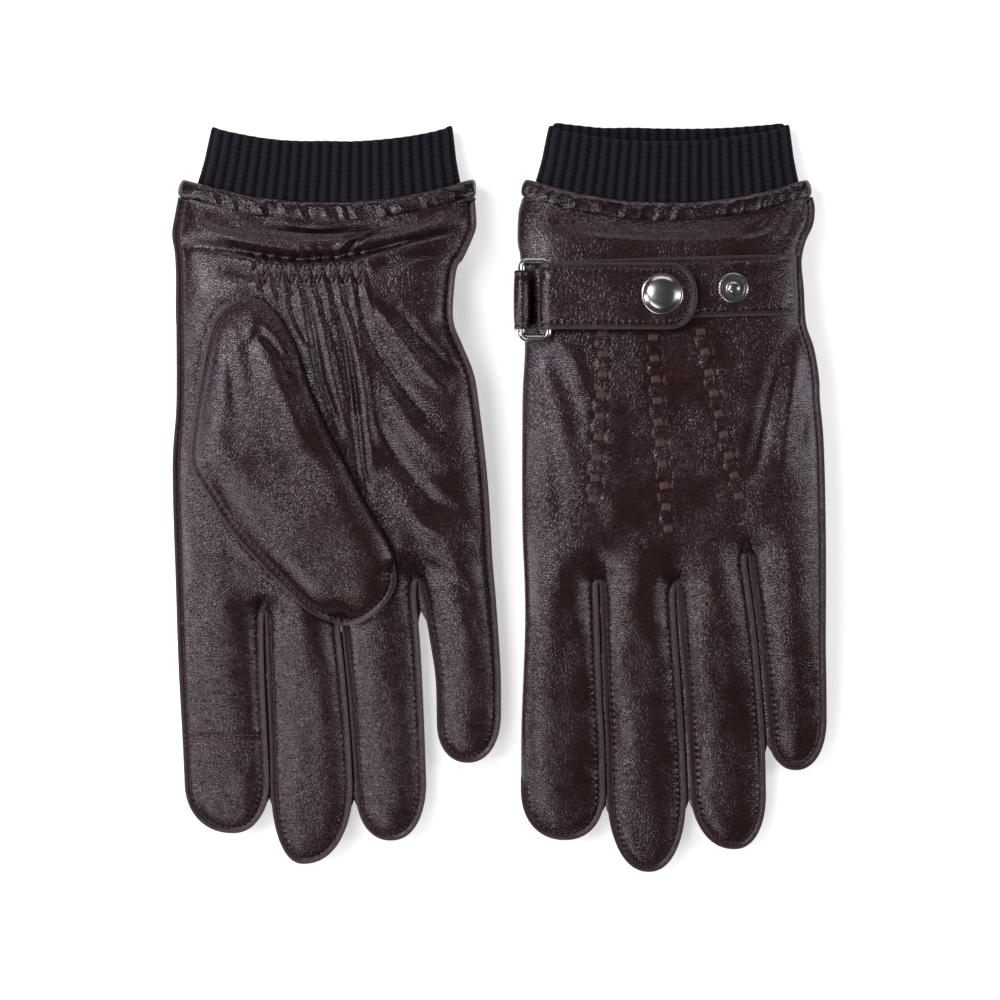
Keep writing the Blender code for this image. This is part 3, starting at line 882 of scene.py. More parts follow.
@dataclass(frozen=True)
class NappaFinish:
    """Dark brown nappa: a fine pebble grain, soft wrinkles, puckered seams and a satin finish, with shade
    painted into its creases, between the pebbles of its grain and into its seams' stitch grooves.
    """

    dark: tuple = (0.0225, 0.0088, 0.0082)
    light: tuple = (0.0320, 0.0132, 0.0122)
    # painted shade: the near-black colour that the creases, the grain's pebble edges and the stitch grooves
    # are darkened towards
    crease_shade: tuple = (0.0050, 0.0020, 0.0020)
    raw_tone: tuple = (0.058, 0.030, 0.027)

    def make(self) -> Material:
        """Build the finish."""
        nodes = Nodes("leather")
        place = nodes.attribute("rest", "Vector")
        raw, crease, hollow = nodes.attribute("raw"), nodes.attribute("crease"), nodes.attribute("hollow")
        seam = nodes.attribute("seam", "Vector")
        walk, away, fin = (nodes.add("SeparateXYZ", k, Vector=seam) for k in range(3))
        pressed = nodes.add("Mapping", Vector=place, Scale=(0.85, 1.25, 1.0))
        edges = {"feature": "DISTANCE_TO_EDGE"}
        pebbles = nodes.add("TexVoronoi", settings=edges, Vector=pressed, Scale=1.05)
        cells = (pebbles * 4.5).kept(0.0, 1.0)
        coarse = nodes.add("TexVoronoi", settings=edges, Vector=pressed, Scale=0.42)
        fine = nodes.add("TexNoise", Vector=place, Scale=2.2, Detail=3.0, Roughness=0.6)
        broad = nodes.add("TexNoise", Vector=place, Scale=0.10, Detail=4.0, Roughness=0.6, Distortion=0.6)
        patches = nodes.add("TexNoise", Vector=place, Scale=0.055, Detail=2.0)
        stretched = nodes.add("Mapping", Vector=place, Scale=(0.10, 0.55, 0.5))
        wrinkle = nodes.add("TexNoise", Vector=stretched, Scale=1.0, Detail=3.0, Roughness=0.6,
                            Distortion=0.8)
        lines = 1.0 - ((wrinkle - 0.5).size() * 10.0).kept(0.0, 1.0)
        strength = (patches * 3.0 - 0.7).kept(0.5, 1.0)
        grain = cells * (strength * 0.50) + (coarse * 3.0).kept(0.0, 1.0) * 0.20 + fine * 0.08
        stitched = (1.0 - ((away - 2.7) * 0.9).size()).kept(0.0, 1.0) * fin
        puckers = (walk * (2 * math.pi / STITCH)).sine() * stitched
        nodes.bump(grain + broad * (crease * 1.0 + 0.8) - lines * (crease * 0.45) + puckers * 0.7, 0.11)
        tone = nodes.mix((broad * 2.2 - 0.65).kept(0.0, 1.0), self.dark, self.light)
        # painted shade: the stitch groove along the seam is darkened, and so are the edges of the grain's
        # pebbles
        groove = (1.0 - ((away - 1.95) * 1.6).size()).kept(0.0, 1.0)
        shaded = (cells * 0.75 + 0.25) * (1.0 - groove * fin * 0.85)
        # painted shade: the hollow mask darkens the creases, on top of the grain and groove shade
        shade_in_valleys = nodes.mix(shaded * (1.0 - hollow), self.crease_shade, tone)
        flat_fin = ((1.9 - away) * 4.0).kept(0.0, 1.0) * fin
        nodes.set(Base_Color=nodes.mix(raw * 0.6, shade_in_valleys, self.raw_tone),
                  Roughness=(0.15 + broad * 0.12 + flat_fin * 0.10 + raw * 0.3).kept(0.0, 1.0),
                  Specular_IOR_Level=0.48, Specular_Tint=(0.97, 0.87, 0.95, 1.0))
        return nodes.material


@dataclass(frozen=True)
class LaceFinish:
    """Reddish brown lace leather, with a duller surface."""

    dark: tuple = (0.036, 0.0110, 0.0075)
    light: tuple = (0.060, 0.0178, 0.0120)
    roughness: float = 0.45

    def make(self) -> Material:
        """Build the finish."""
        nodes = Nodes("lacing")
        place = nodes.attribute("rest", "Vector")
        fine = nodes.add("TexNoise", Vector=place, Scale=2.2, Detail=3.0, Roughness=0.6)
        nodes.bump(fine, 0.12)
        tone = nodes.mix(fine, self.dark, self.light)
        nodes.set(Base_Color=tone, Roughness=self.roughness)
        return nodes.material


@dataclass(frozen=True)
class KnitFinish:
    """Near-black ribbed wool, with shade painted into the grooves between its ribs."""

    dark: tuple = (0.0020, 0.0020, 0.0032)
    light: tuple = (0.0175, 0.0155, 0.0220)
    roughness: float = 0.92

    def make(self) -> Material:
        """Build the finish."""
        nodes = Nodes("knit")
        place = nodes.attribute("rest", "Vector")
        fine = nodes.add("TexNoise", Vector=place, Scale=3.2, Detail=3.0, Roughness=0.7)
        across = nodes.add("SeparateXYZ", Vector=place)
        along = nodes.add("SeparateXYZ", 1, Vector=place)
        rib = nodes.attribute("raw")
        stitch = (along * 3.9 + (across * 1.745).sine().size() * 2.0).sine()
        height = (fine * 0.5 + stitch * 0.5) * rib
        # painted shade: the rib tops are lighter and the grooves between them darker
        light = (rib * 1.2 + stitch * 0.10 + fine * 0.5 - 0.5).kept(0.0, 1.0)
        tone = nodes.mix(light, self.dark, self.light)
        nodes.bump(height, 0.4)
        nodes.set(Base_Color=tone, Roughness=self.roughness, Specular_IOR_Level=0.15)
        return nodes.material


@dataclass(frozen=True)
class LiningFinish:
    """Brushed dark lining."""

    tone: tuple = (0.018, 0.018, 0.022, 1.0)
    roughness: float = 0.95

    def make(self) -> Material:
        """Build the finish."""
        nodes = Nodes("lining")
        nodes.set(Base_Color=self.tone, Roughness=self.roughness, Sheen_Weight=0.3)
        return nodes.material


@dataclass(frozen=True)
class ElasticFinish:
    """Covered elastic."""

    tone: tuple = (0.015, 0.015, 0.018, 1.0)
    roughness: float = 0.8

    def make(self) -> Material:
        """Build the finish."""
        nodes = Nodes("elastic")
        nodes.set(Base_Color=self.tone, Roughness=self.roughness)
        return nodes.material


@dataclass(frozen=True)
class NickelFinish:
    """Polished nickel with faint handling marks."""

    tone: tuple = (0.32, 0.31, 0.315, 1.0)

    def make(self) -> Material:
        """Build the finish."""
        nodes = Nodes("polished nickel")
        place = nodes.add("TexCoord", output=3)
        marks = nodes.add("TexNoise", Vector=place, Scale=900.0, Detail=2.0)
        nodes.set(Base_Color=self.tone, Metallic=1.0, Roughness=marks * 0.08 + 0.20)
        return nodes.material


@dataclass(frozen=True)
class ThreadFinish:
    """Reddish brown sewing thread."""

    tone: tuple = (0.090, 0.027, 0.018, 1.0)
    roughness: float = 0.6

    def make(self) -> Material:
        """Build the finish."""
        nodes = Nodes("thread")
        nodes.set(Base_Color=self.tone, Roughness=self.roughness)
        return nodes.material


class Palette:
    """Makes each finish once."""

    FINISHES = {Finish.LEATHER: NappaFinish(), Finish.LACING: LaceFinish(), Finish.KNIT: KnitFinish(),
                Finish.LINING: LiningFinish(), Finish.ELASTIC: ElasticFinish(),
                Finish.METAL: NickelFinish(), Finish.THREAD: ThreadFinish()}

    def __init__(self) -> None:
        """Start with nothing made."""
        self.made = {}

    def __getitem__(self, finish: Finish) -> Material:
        """Return a finish's material, made when it is first asked for."""
        if finish not in self.made:
            self.made[finish] = self.FINISHES[finish].make()
        return self.made[finish]


def hollows(mesh: bpy.types.Mesh, normals: Array) -> Array:
    """Return how sharply each point of a mesh lies in a hollow: 0 on flat or raised ground, 1 in a crease;
    the leather paints shade into its creases by this value.

    Args:
        mesh: the mesh.
        normals: one for each of its points.

    Returns:
        One value for each point, from 0 to 1.
    """
    count = len(mesh.vertices)
    spots, ends = np.empty(count * 3, np.float32), np.empty(len(mesh.edges) * 2, np.int32)
    mesh.vertices.foreach_get("co", spots)
    mesh.edges.foreach_get("vertices", ends)
    spots, (a, b) = spots.reshape(-1, 3).astype(float), ends.reshape(-1, 2).T
    shared = np.maximum(np.bincount(a, minlength=count) + np.bincount(b, minlength=count), 1)

    def around(values: Array) -> Array:
        """Return the mean of each point's neighbours."""
        return (np.bincount(a, values[b], count) + np.bincount(b, values[a], count)) / shared

    apart = np.linalg.norm(spots[a] - spots[b], axis=1)
    reach = (np.bincount(a, apart, count) + np.bincount(b, apart, count)) / shared
    rise = sum((around(spots[:, k]) - spots[:, k]) * normals[:, k] for k in range(3))
    hollow = ramp(rise / np.maximum(reach, 1e-9), 0.025, 0.14)
    return 0.6 * hollow + 0.4 * around(hollow)


def make_object(name: str, patch: Patch, finish: Material, smooth: bool = True) -> Object:
    """Turn a patch into an object, with its grain coordinates and its own smooth normals.

    Args:
        name: the object's name.
        patch: the surface.
        finish: the material.
        smooth: use the patch's normals.

    Returns:
        The object, at the origin.
    """
    mesh = bpy.data.meshes.new(name)
    mesh.from_pydata(patch.points.tolist(), [], patch.faces)
    mesh.materials.append(finish)
    mesh.shade_smooth()
    for key, kind, values in (("rest", "FLOAT_VECTOR", patch.rest), ("raw", "FLOAT", patch.raw),
                              ("hollow", "FLOAT", hollows(mesh, np.asarray(patch.normals, float))),
                              ("crease", "FLOAT", patch.crease), ("seam", "FLOAT_VECTOR", patch.seam)):
        slot = mesh.attributes.new(key, kind, "POINT")
        slot.data.foreach_set("vector" if kind == "FLOAT_VECTOR" else "value",
                              np.asarray(values, np.float32).ravel())
    if smooth:
        mesh.normals_split_custom_set_from_vertices(patch.normals.tolist())
    made = bpy.data.objects.new(name, mesh)
    bpy.context.scene.collection.objects.link(made)
    LOG.info("%s: %d faces", name, len(patch.faces))
    return made


def capsules(drape: Drape, places: Array, length: float = 1.7, thick: float = 0.21) -> Patch:
    """Make a row of low, rounded stitches as one patch.

    Args:
        drape: lays the stitches on the table.
        places: rows of (x, y, w, along x, along y).
        length, thick: of one stitch, thick being its radius, in millimetres.

    Returns:
        The patch.
    """
    points, faces = [], []
    turns = np.linspace(0.0, 2 * math.pi, 6, endpoint=False)
    sections = ((-0.5, 0.25), (-0.36, 0.9), (0.0, 1.0), (0.36, 0.9), (0.5, 0.25))
    for x, y, w, ax, ay in places:
        first = len(points)
        for step, swell in sections:
            for turn in turns:
                out, up = math.cos(turn) * thick * swell, math.sin(turn) * thick * swell
                spot = (x + ax * step * length - ay * out, y + ay * step * length + ax * out,
                        w + up - abs(step) * 0.3 * np.sign(w))
                points.append(spot)
        for s in range(len(sections) - 1):
            for t in range(6):
                a, b = first + s * 6 + t, first + s * 6 + (t + 1) % 6
                faces.append((a, b, b + 6, a + 6))
        faces.append(tuple(first + t for t in range(5, -1, -1)))
        faces.append(tuple(first + 24 + t for t in range(6)))
    flat = np.array(points)
    laid = drape.lay(*flat.T)
    if drape.up < 0:
        faces = [face[::-1] for face in faces]
    quads = [face for face in faces if len(face) == 4]
    count = len(flat)
    return Patch(laid, faces, vertex_normals(laid, quads), flat, np.zeros(count), np.zeros(count))


def one_region(x: Array, y: Array, upper: bool) -> Array:
    """Mark every face as the same region."""
    return np.zeros(len(x), int)


@dataclass
class Glove:
    """What all the pieces of one glove share: its drape, outline, skin heights and finishes."""

    pattern: Pattern
    palette: Palette
    stud_at: tuple = (19.8, 73.2)    # the spare stud's place on the pattern

    def __post_init__(self) -> None:
        """Place the glove by its spare stud, and trace its outlines."""
        low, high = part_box(f"{self.pattern.side}_stud_outer")
        self.drape = Drape(self.pattern, (low.x + high.x) / 2 / MM - self.stud_at[0])
        self.body = f"{self.pattern.side}_glove"
        self.outline, self.cuts = self.make_outline()
        seam = resample(smooth_curve(THUMB_SEAM), 1.1)
        fold = resample(smooth_curve((THUMB_SEAM[-1],) + THUMB_FOLD + (THUMB_SEAM[0],)), 1.1)[1:-1]
        fin = np.concatenate([ramp(np.arange(len(seam)), 1, 6) * ramp(len(seam) - np.arange(len(seam)), 1, 7),
                              np.zeros(len(fold))])
        self.thumb_outline = Outline(np.vstack([seam, fold]), fin)

    def make_outline(self) -> tuple:
        """Trace the glove's edge, and find where its fingers are cut from the hand."""
        digits = self.pattern.digits
        points = list(smooth_curve(self.pattern.left + digits[0].left))
        for k, digit in enumerate(digits):
            points += quarter(digit.left[-1], digit.apex)
            points += quarter(digit.right[0], digit.apex)[::-1][1:]
            following = (digit.crotch,) + digits[k + 1].left if digit.crotch else self.pattern.right
            points += list(smooth_curve(digit.right + following))
        line = resample(points, 0.95)
        marks = {}
        for level in (FINGER_CUT, TOUCH_SEAM):
            marks[level] = []
            for i in range(len(line) - 1):
                before, after = line[i, 1] - level, line[i + 1, 1] - level
                if before * after <= 0.0 and before != after:
                    share = before / (before - after)
                    spot = line[i] + (line[i + 1] - line[i]) * share
                    index = i if share < 0.5 else i + 1
                    line[index] = (spot[0], level)
                    if not marks[level] or marks[level][-1] != index:
                        marks[level].append(index)
        pairs = marks[FINGER_CUT]
        cuts = list(zip(pairs[::2], pairs[1::2])) + [tuple(marks[TOUCH_SEAM][:2])]
        fin = np.ones(len(line))
        if self.pattern.folded_left:
            left = np.arange(len(line)) < marks[TOUCH_SEAM][0] + 16
            fin = np.where(left, ramp(-line[:, 1], 96.0, 103.0), 1.0)
        cuff = np.stack([np.linspace(line[-1, 0], line[0, 0], 54)[1:-1], np.full(52, CUFF_EDGE)], 1)
        fin = np.concatenate([fin, np.zeros(len(cuff))])
        return Outline(np.vstack([line, cuff]), fin, len(cuff)), cuts

    def thick(self, y: Array) -> Array:
        """Return how far the puffed leather stands out from the hand's middle."""
        return np.interp(y, (-131.0, -118.0, -60.0, -38.0), (4.7, 5.3, 5.9, HALF_THICK))

    def seam_height(self, x: Array, y: Array) -> Array:
        """Return how far the seam's outer faces are from the hand's middle."""
        return np.interp(y, (-60.0, -25.0), (3.1, 1.9))

    def bare(self, x: Array, y: Array, away: Array, fin: Array) -> Array:
        """Return the height of the leather over the hand's middle, without its folds.

        Args:
            x, y: the pattern points.
            away, fin: their distance to the edge, and the seam's fin there.

        Returns:
            The height of each, in millimetres.
        """
        edge = self.seam_height(x, y) * fin
        reach = np.interp(y, (-131.0, -60.0, -43.0, 0.0), (10.5, 11.5, 13.0, 18.0))
        t = np.clip((away - 2.2 * fin) / reach, 0.0, 1.0)
        dome = (1.0 - (1.0 - t) ** 2.3) ** (0.5 + 0.08 * fin)
        groove = 0.45 * fin * bell(away - 2.0, 0.38)
        return edge + (self.thick(y) - edge) * dome - groove

    def skin(self, x: Array, y: Array) -> Array:
        """Return the height of the unfolded leather at places on the pattern.

        Args:
            x, y: the pattern points.

        Returns:
            The height of each, in millimetres.
        """
        away, fin = self.outline.measure(x, y)
        within = self.outline.inside(np.ravel(x), np.ravel(y)).reshape(np.shape(x))
        return self.bare(x, y, np.where(within, away, 0.0), fin)

    def seam(self, x: Array, y: Array) -> tuple:
        """Return the w of the seam's upper and lower outer faces."""
        height = self.seam_height(x, y)
        return self.drape.up * height, -self.drape.up * height

    def name(self, piece: str) -> str:
        """Return the piece's name, with the glove's side."""
        return f"{self.pattern.side}_{piece}"


@dataclass
class Folds:
    """The folds, gathers and wrinkles of a glove's two faces."""

    glove: Glove
    palm_folds: tuple = (
        Crease(((-50.0, 88.8), (-30.0, 86.4), (-10.0, 83.6), (3.0, 84.6), (14.5, 86.6), (34.0, 92.0),
                (50.5, 96.3)), 1.5, -1.7),
        Crease(((-50.0, 93.6), (-30.0, 91.0), (-10.0, 88.6), (14.5, 91.4), (34.0, 96.0), (50.0, 100.0)),
               3.0, 1.0),
        Crease(((-22.0, 101.8), (-10.0, 101.0), (-3.0, 99.6), (6.0, 101.2), (20.0, 102.0)), 1.6, -1.7),
        Crease(((-16.0, 97.6), (-6.0, 96.0), (4.0, 96.6)), 1.8, 0.5),
        Crease(((18.0, 102.5), (16.5, 98.0), (13.0, 93.0), (6.0, 86.0)), 0.9, -1.1),
        Crease(((13.0, 97.0), (8.0, 91.0), (2.0, 84.0)), 1.2, 0.8),
        Crease(((-46.0, 98.5), (-38.0, 93.5), (-28.0, 89.5), (-16.0, 87.5)), 1.8, 0.8),
        Crease(((4.0, 66.0), (7.1, 53.7), (9.6, 37.2), (12.0, 10.8), (16.0, -6.0)), 0.9, -1.3),
        Crease(((7.0, 66.0), (10.4, 52.0), (13.0, 36.0), (15.6, 12.0)), 1.9, 0.8),
        Crease(((-7.0, 68.0), (-5.0, 56.0), (-2.0, 42.0), (4.0, 24.0)), 1.1, -1.1),
        Crease(((-3.0, 68.0), (-0.4, 54.0), (3.0, 38.0), (7.0, 22.0)), 1.6, 0.7),
        Crease(((-14.0, 70.0), (-11.0, 62.0), (-7.0, 54.0)), 1.0, -0.9),
        Crease(((-20.0, 74.0), (-26.0, 78.0), (-36.0, 80.0)), 2.0, -0.8),
        Crease(((14.0, 80.0), (26.0, 84.0), (42.0, 87.0)), 2.0, -0.8),
        Crease(((13.0, 71.0), (22.0, 60.0), (33.0, 46.0), (44.0, 36.0)), 2.2, 0.8),
        Crease(((10.0, 66.0), (18.0, 50.0), (28.0, 36.0), (38.0, 26.0)), 1.6, -0.8),
        Crease(((24.0, 66.0), (34.0, 54.0), (46.0, 42.0)), 1.8, -0.7),
        Crease(((20.0, 40.0), (30.0, 24.0), (42.0, 12.0)), 3.0, 0.7),
        Crease(((15.0, 30.0), (24.0, 14.0), (36.0, 0.0), (50.0, -8.0)), 2.6, -0.7),
        Crease(((24.0, 2.0), (32.0, -8.0), (42.0, -14.0), (52.0, -15.0)), 2.6, 0.6),
        Crease(((22.0, -20.0), (34.0, -22.0), (46.0, -30.0), (52.0, -44.0)), 3.0, -0.6),
    )
    back_folds: tuple = (
        Crease(((-48.0, 88.0), (-20.0, 86.5), (10.0, 88.0), (44.0, 92.0)), 2.4, -0.6),
        Crease(((-40.0, 98.0), (-10.0, 94.0), (20.0, 95.0), (44.0, 99.0)), 2.6, -0.8),
        Crease(((20.0, 91.0), (30.0, 96.0), (36.0, 103.0)), 1.8, -0.9),
        Crease(((34.0, 88.0), (40.0, 94.0), (42.0, 103.0)), 1.8, -0.8),
        Crease(((40.0, 60.0), (35.0, 46.0), (31.0, 30.0), (29.0, 14.0)), 3.0, -0.8),
        Crease(((44.0, 58.0), (42.0, 44.0), (39.0, 28.0), (37.0, 8.0)), 2.2, 0.7),
        Crease(((45.0, 52.0), (46.0, 36.0), (44.0, 18.0)), 1.6, -0.6),
        Crease(((36.0, 40.0), (30.0, 22.0), (24.0, 4.0), (20.0, -14.0)), 3.4, -0.5),
        Crease(((-50.0, 56.0), (-42.0, 48.0), (-36.0, 34.0), (-33.0, 18.0)), 3.2, -0.7),
        Crease(((-46.0, 58.0), (-36.0, 50.0), (-30.0, 36.0)), 2.4, 0.55),
        Crease(((-51.0, 40.0), (-44.0, 26.0), (-41.0, 8.0), (-40.0, -14.0)), 3.6, -0.45),
        Crease(((-40.0, -24.0), (-39.0, -44.0), (-38.0, -64.0)), 4.5, -0.5),
        Crease(((-12.0, -30.0), (-12.0, -50.0), (-11.0, -78.0)), 4.5, -0.35),
        Crease(((10.0, -26.0), (14.0, -44.0), (17.0, -70.0)), 4.5, -0.35),
    )

    @property
    def seed(self) -> int:
        """Where this glove's random draws start."""
        return self.glove.pattern.seed

    def rolling(self, x: Array, y: Array, away: Array, seed: int) -> Array:
        """Return the soft unevenness that the leather has everywhere.

        Args:
            x, y: the pattern points.
            away: their distance to the edge.
            seed: of the random heights.

        Returns:
            The height of each, in millimetres.
        """
        puckers = 0.2 * noise(x, y, 4.2, seed + 3) * ramp(away, 2.0, 3.4) * (1.0 - ramp(away, 5.0, 9.0))
        rolls = 0.42 * noise(x, y, 24.0, seed) + 0.2 * noise(x * 1.3 + y * 0.4, y, 11.0, seed + 1)
        return puckers + (rolls + 0.09 * noise(x, y, 4.6, seed + 2)) * ramp(away, 3.0, 9.0)

    def gathers(self, x: Array, y: Array) -> Array:
        """Return the pleats that the elastic pulls into the wrist: a zigzag, and folds from its points.

        Args:
            x, y: the pattern points.

        Returns:
            The height of each, in millimetres.
        """
        pitch, low, high, first = 4.7, 74.8, 82.0, -22.4
        drift = x - 0.24 * np.maximum(low - y, 0.0) + 0.35 * np.maximum(y - high, 0.0)
        band = ramp(drift, -27.0, -24.5) * (1.0 - ramp(drift, 12.5, 15.0))
        wobble = 0.5 * noise(x, y, 5.0, self.seed + 9)
        phase = (drift + wobble - first) / pitch
        wave = 2.0 * np.abs(phase - np.floor(phase + 0.5))
        zigzag = (y - low - (high - low) * wave) / 3.1
        within = ramp(y, low - 1.5, low + 0.5) * (1.0 - ramp(y, high - 0.5, high + 1.5))
        relief = within * (0.75 - 1.35 * bell(zigzag, 0.62))
        valley = np.maximum(np.cos(2 * math.pi * phase), 0.0) ** 2.5
        crest = np.maximum(-np.cos(2 * math.pi * phase), 0.0) ** 2.5
        above = np.where(y > high - 1.0, bell(y - high, 3.6), 0.0) * (1.0 - within)
        relief += above * (0.7 * valley - 0.8 * crest)
        keen = 0.6 + 0.4 * np.sin(np.floor(phase + 0.5) * 2.4)
        valley, crest = valley * keen * bell(low - y, 8.0 + 13.0 * keen), crest * bell(low - y, 15.0)
        below = np.where(y < low + 1.0, 1.0, 0.0) * (1.0 - within)
        relief += below * (0.45 * crest - 1.2 * valley)
        return band * relief - 0.25 * bell(y - 78.4, 5.0) * band

    def palm(self, x: Array, y: Array, away: Array) -> Array:
        """Return the relief of the palm, which lies smooth where the thumb is sewn to it.

        Args:
            x, y: the pattern points.
            away: their distance to the edge.

        Returns:
            The height of each, in millimetres.
        """
        relief = self.rolling(x, y, away, self.seed) + self.gathers(x, y) * ramp(away, 2.5, 7.0)
        calm = ramp(away, 2.3, 5.0)
        for crease in self.palm_folds:
            relief += FOLD_DEPTH * crease.lift(x, y) * calm
        near, _ = self.glove.thumb_outline.measure(x, y)
        under = self.glove.thumb_outline.inside(x, y)
        rim = 0.9 * bell(near, 2.2) * ramp(x, -50.0, -44.0) * ramp(-x, 0.0, 20.0) * ramp(y, -10.0, 20.0)
        return np.where(under, -0.3, relief * ramp(near, 0.3, 5.0) - rim)

    def laced(self, x: Array, y: Array) -> Array:
        """Return the dip of the slits and the rise of the tucks between them, along the lacing.

        Args:
            x, y: the pattern points.

        Returns:
            The height of each, in millimetres.
        """
        relief = np.zeros(np.shape(x))
        for line in Lacing.lines:
            path = smooth_curve(line[:-1])
            away, place = line_distance(x, y, path)
            wave = np.cos(place * (line[-1] - 1) * 2 * math.pi)
            band = 1.0 - ramp(away, LACE_HALF, LACE_HALF + 1.0)
            ends = ramp(place, 0.0, 0.01) * ramp(1.0 - place, 0.0, 0.01)
            relief += (-0.18 * wave) * band * ends - 0.08 * bell(away - 2.6, 0.7) * ends
        return relief

    def back(self, x: Array, y: Array, away: Array) -> Array:
        """Return the relief of the back.

        Args:
            x, y: the pattern points.
            away: their distance to the edge.

        Returns:
            The height of each, in millimetres.
        """
        relief = self.rolling(x, y, away, self.seed + 20) + self.laced(x, y)
        calm = ramp(away, 2.3, 5.0)
        for crease in self.back_folds:
            relief += crease.lift(x, y) * calm
        press = ramp(y, 56.0, 62.0) * (1.0 - ramp(y, 84.0, 90.0))
        return relief * (1.0 - 0.85 * press) - 0.35 * press * ramp(away, 3.0, 8.0)


@dataclass
class Leather:
    """The leather of the hand and the fingers, cut from one smooth skin."""

    glove: Glove

    def __post_init__(self) -> None:
        """Take the glove's folds."""
        self.folds = Folds(self.glove)

    def height(self, face: Face) -> Callable:
        """Return the function that gives w on one face.

        Args:
            face: the palm or the back.

        Returns:
            A function of (x, y, away, fin).
        """
        relief = self.folds.palm if face is Face.PALM else self.folds.back

        def w(x: Array, y: Array, away: Array, fin: Array) -> Array:
            """Return w on this face, from the same four values as Glove.bare."""
            tall = self.glove.bare(x, y, away, fin) + relief(x, y, away) * ramp(away, 1.9, 3.2)
            if face is Face.PALM:
                index = (x < -21.5) * ramp(away, 1.5, 3)
                tall += 0.5 * bell(y + 80.6, 1.1) * index - 0.45 * bell(y + 84.4, 2.2) * index
            return face.value * np.maximum(tall, 0.4 * np.minimum(away, 1.0))
        return w

    def region(self, x: Array, y: Array, upper: bool) -> Array:
        """Mark which piece each face belongs to: the hand, a finger, or the touch panel.

        Args:
            x, y: the pattern points.
            upper: whether the face is the upper one, or None on the seam.

        Returns:
            One number for each point.
        """
        digits = self.glove.pattern.digits
        finger = np.ones(len(x), int)
        for k, digit in enumerate(digits[:-1]):
            middle = (digit.right[0][0] + digits[k + 1].left[-1][0]) / 2
            lean = (digit.crotch[0] - middle) * ramp(y, -100.0, -43.0)
            finger += x > middle + lean
        found = np.where(y > FINGER_CUT, 0, finger)
        palm_is_up = self.glove.pattern.palm_up
        if upper is not None and upper == palm_is_up:
            found = np.where((found == 1) & (y < TOUCH_SEAM), 5, found)
        return found

    def build(self) -> None:
        """Make the hand's leather, the fingers and the touch panel."""
        glove = self.glove
        faces = (Face.PALM, Face.BACK) if glove.pattern.palm_up else (Face.BACK, Face.PALM)
        shell = Shell(glove.drape, glove.outline, [self.height(face) for face in faces], glove.seam)
        gathered = ((-30.0, 24.0, 30.0, 103.0, 0.8),)
        laced = tuple((min(p[0] for p in line[:-1]) - 3.5, max(p[0] for p in line[:-1]) + 3.5,
                       min(p[1] for p in line[:-1]) - 3.0, max(p[1] for p in line[:-1]) + 3.0, 0.62)
                      for line in Lacing.lines)
        fine, coarse = (gathered, laced) if glove.pattern.palm_up else (laced, gathered)
        patch = shell.build(self.region, 1.25, 2.5, fine, coarse, glove.cuts)
        leather = glove.palette[Finish.LEATHER]
        hand = make_object(glove.name("hand_leather"), patch.part(0), leather)
        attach(hand, glove.body)
        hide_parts(glove.name("palm_panel"), glove.name("back_panel"))
        strips = {"index": ("index_side_outer",), "middle": ("middle_side_inner", "middle_side_outer"),
                  "ring": ("ring_side_inner", "ring_side_outer"), "little": ("little_side_inner",)}
        for k, digit in enumerate(glove.pattern.digits):
            finger = make_object(glove.name(digit.name + "_leather"), patch.part(k + 1), leather)
            self.bend(finger, digit.name)
            sides = (glove.name(strip) for strip in strips[digit.name])
            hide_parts(glove.name(digit.name + "_finger"), *sides)
        touch = make_object(glove.name("touch_panel"), patch.part(5), leather)
        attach(touch, glove.name("index"))
        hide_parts(glove.name("touch_tip"))
        self.sew(shell)

    def bend(self, piece: Object, finger: str) -> None:
        """Bake a piece's placement into its mesh; the knuckles' span on the table is found, but nothing
        bends.

        Args:
            piece: the piece.
            finger: the finger's name, which is not used.
        """
        start, end = (self.glove.drape.spot(0.0, y, 0.0) for y in FINGER_BEND)
        self.glove.name(finger)
        start[0]
        end[1]
        start[2]
        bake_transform(piece)
        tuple(start)

    def sew(self, shell: Shell) -> None:
        """Sew the seams of both faces, with the stitches of each finger as their own piece.

        Args:
            shell: the shell that holds the seams.
        """
        thread = self.glove.palette[Finish.THREAD]
        places = np.vstack([shell.stitches(True), shell.stitches(False)])
        found = self.region(places[:, 0], places[:, 1], None)
        for k, name in enumerate(("hand",) + tuple(d.name for d in self.glove.pattern.digits)):
            stitches = make_object(self.glove.name(f"{name}_stitches"),
                                   capsules(self.glove.drape, places[found == k]), thread, smooth=False)
            if k == 0:
                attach(stitches, self.glove.body)
            else:
                self.bend(stitches, name)


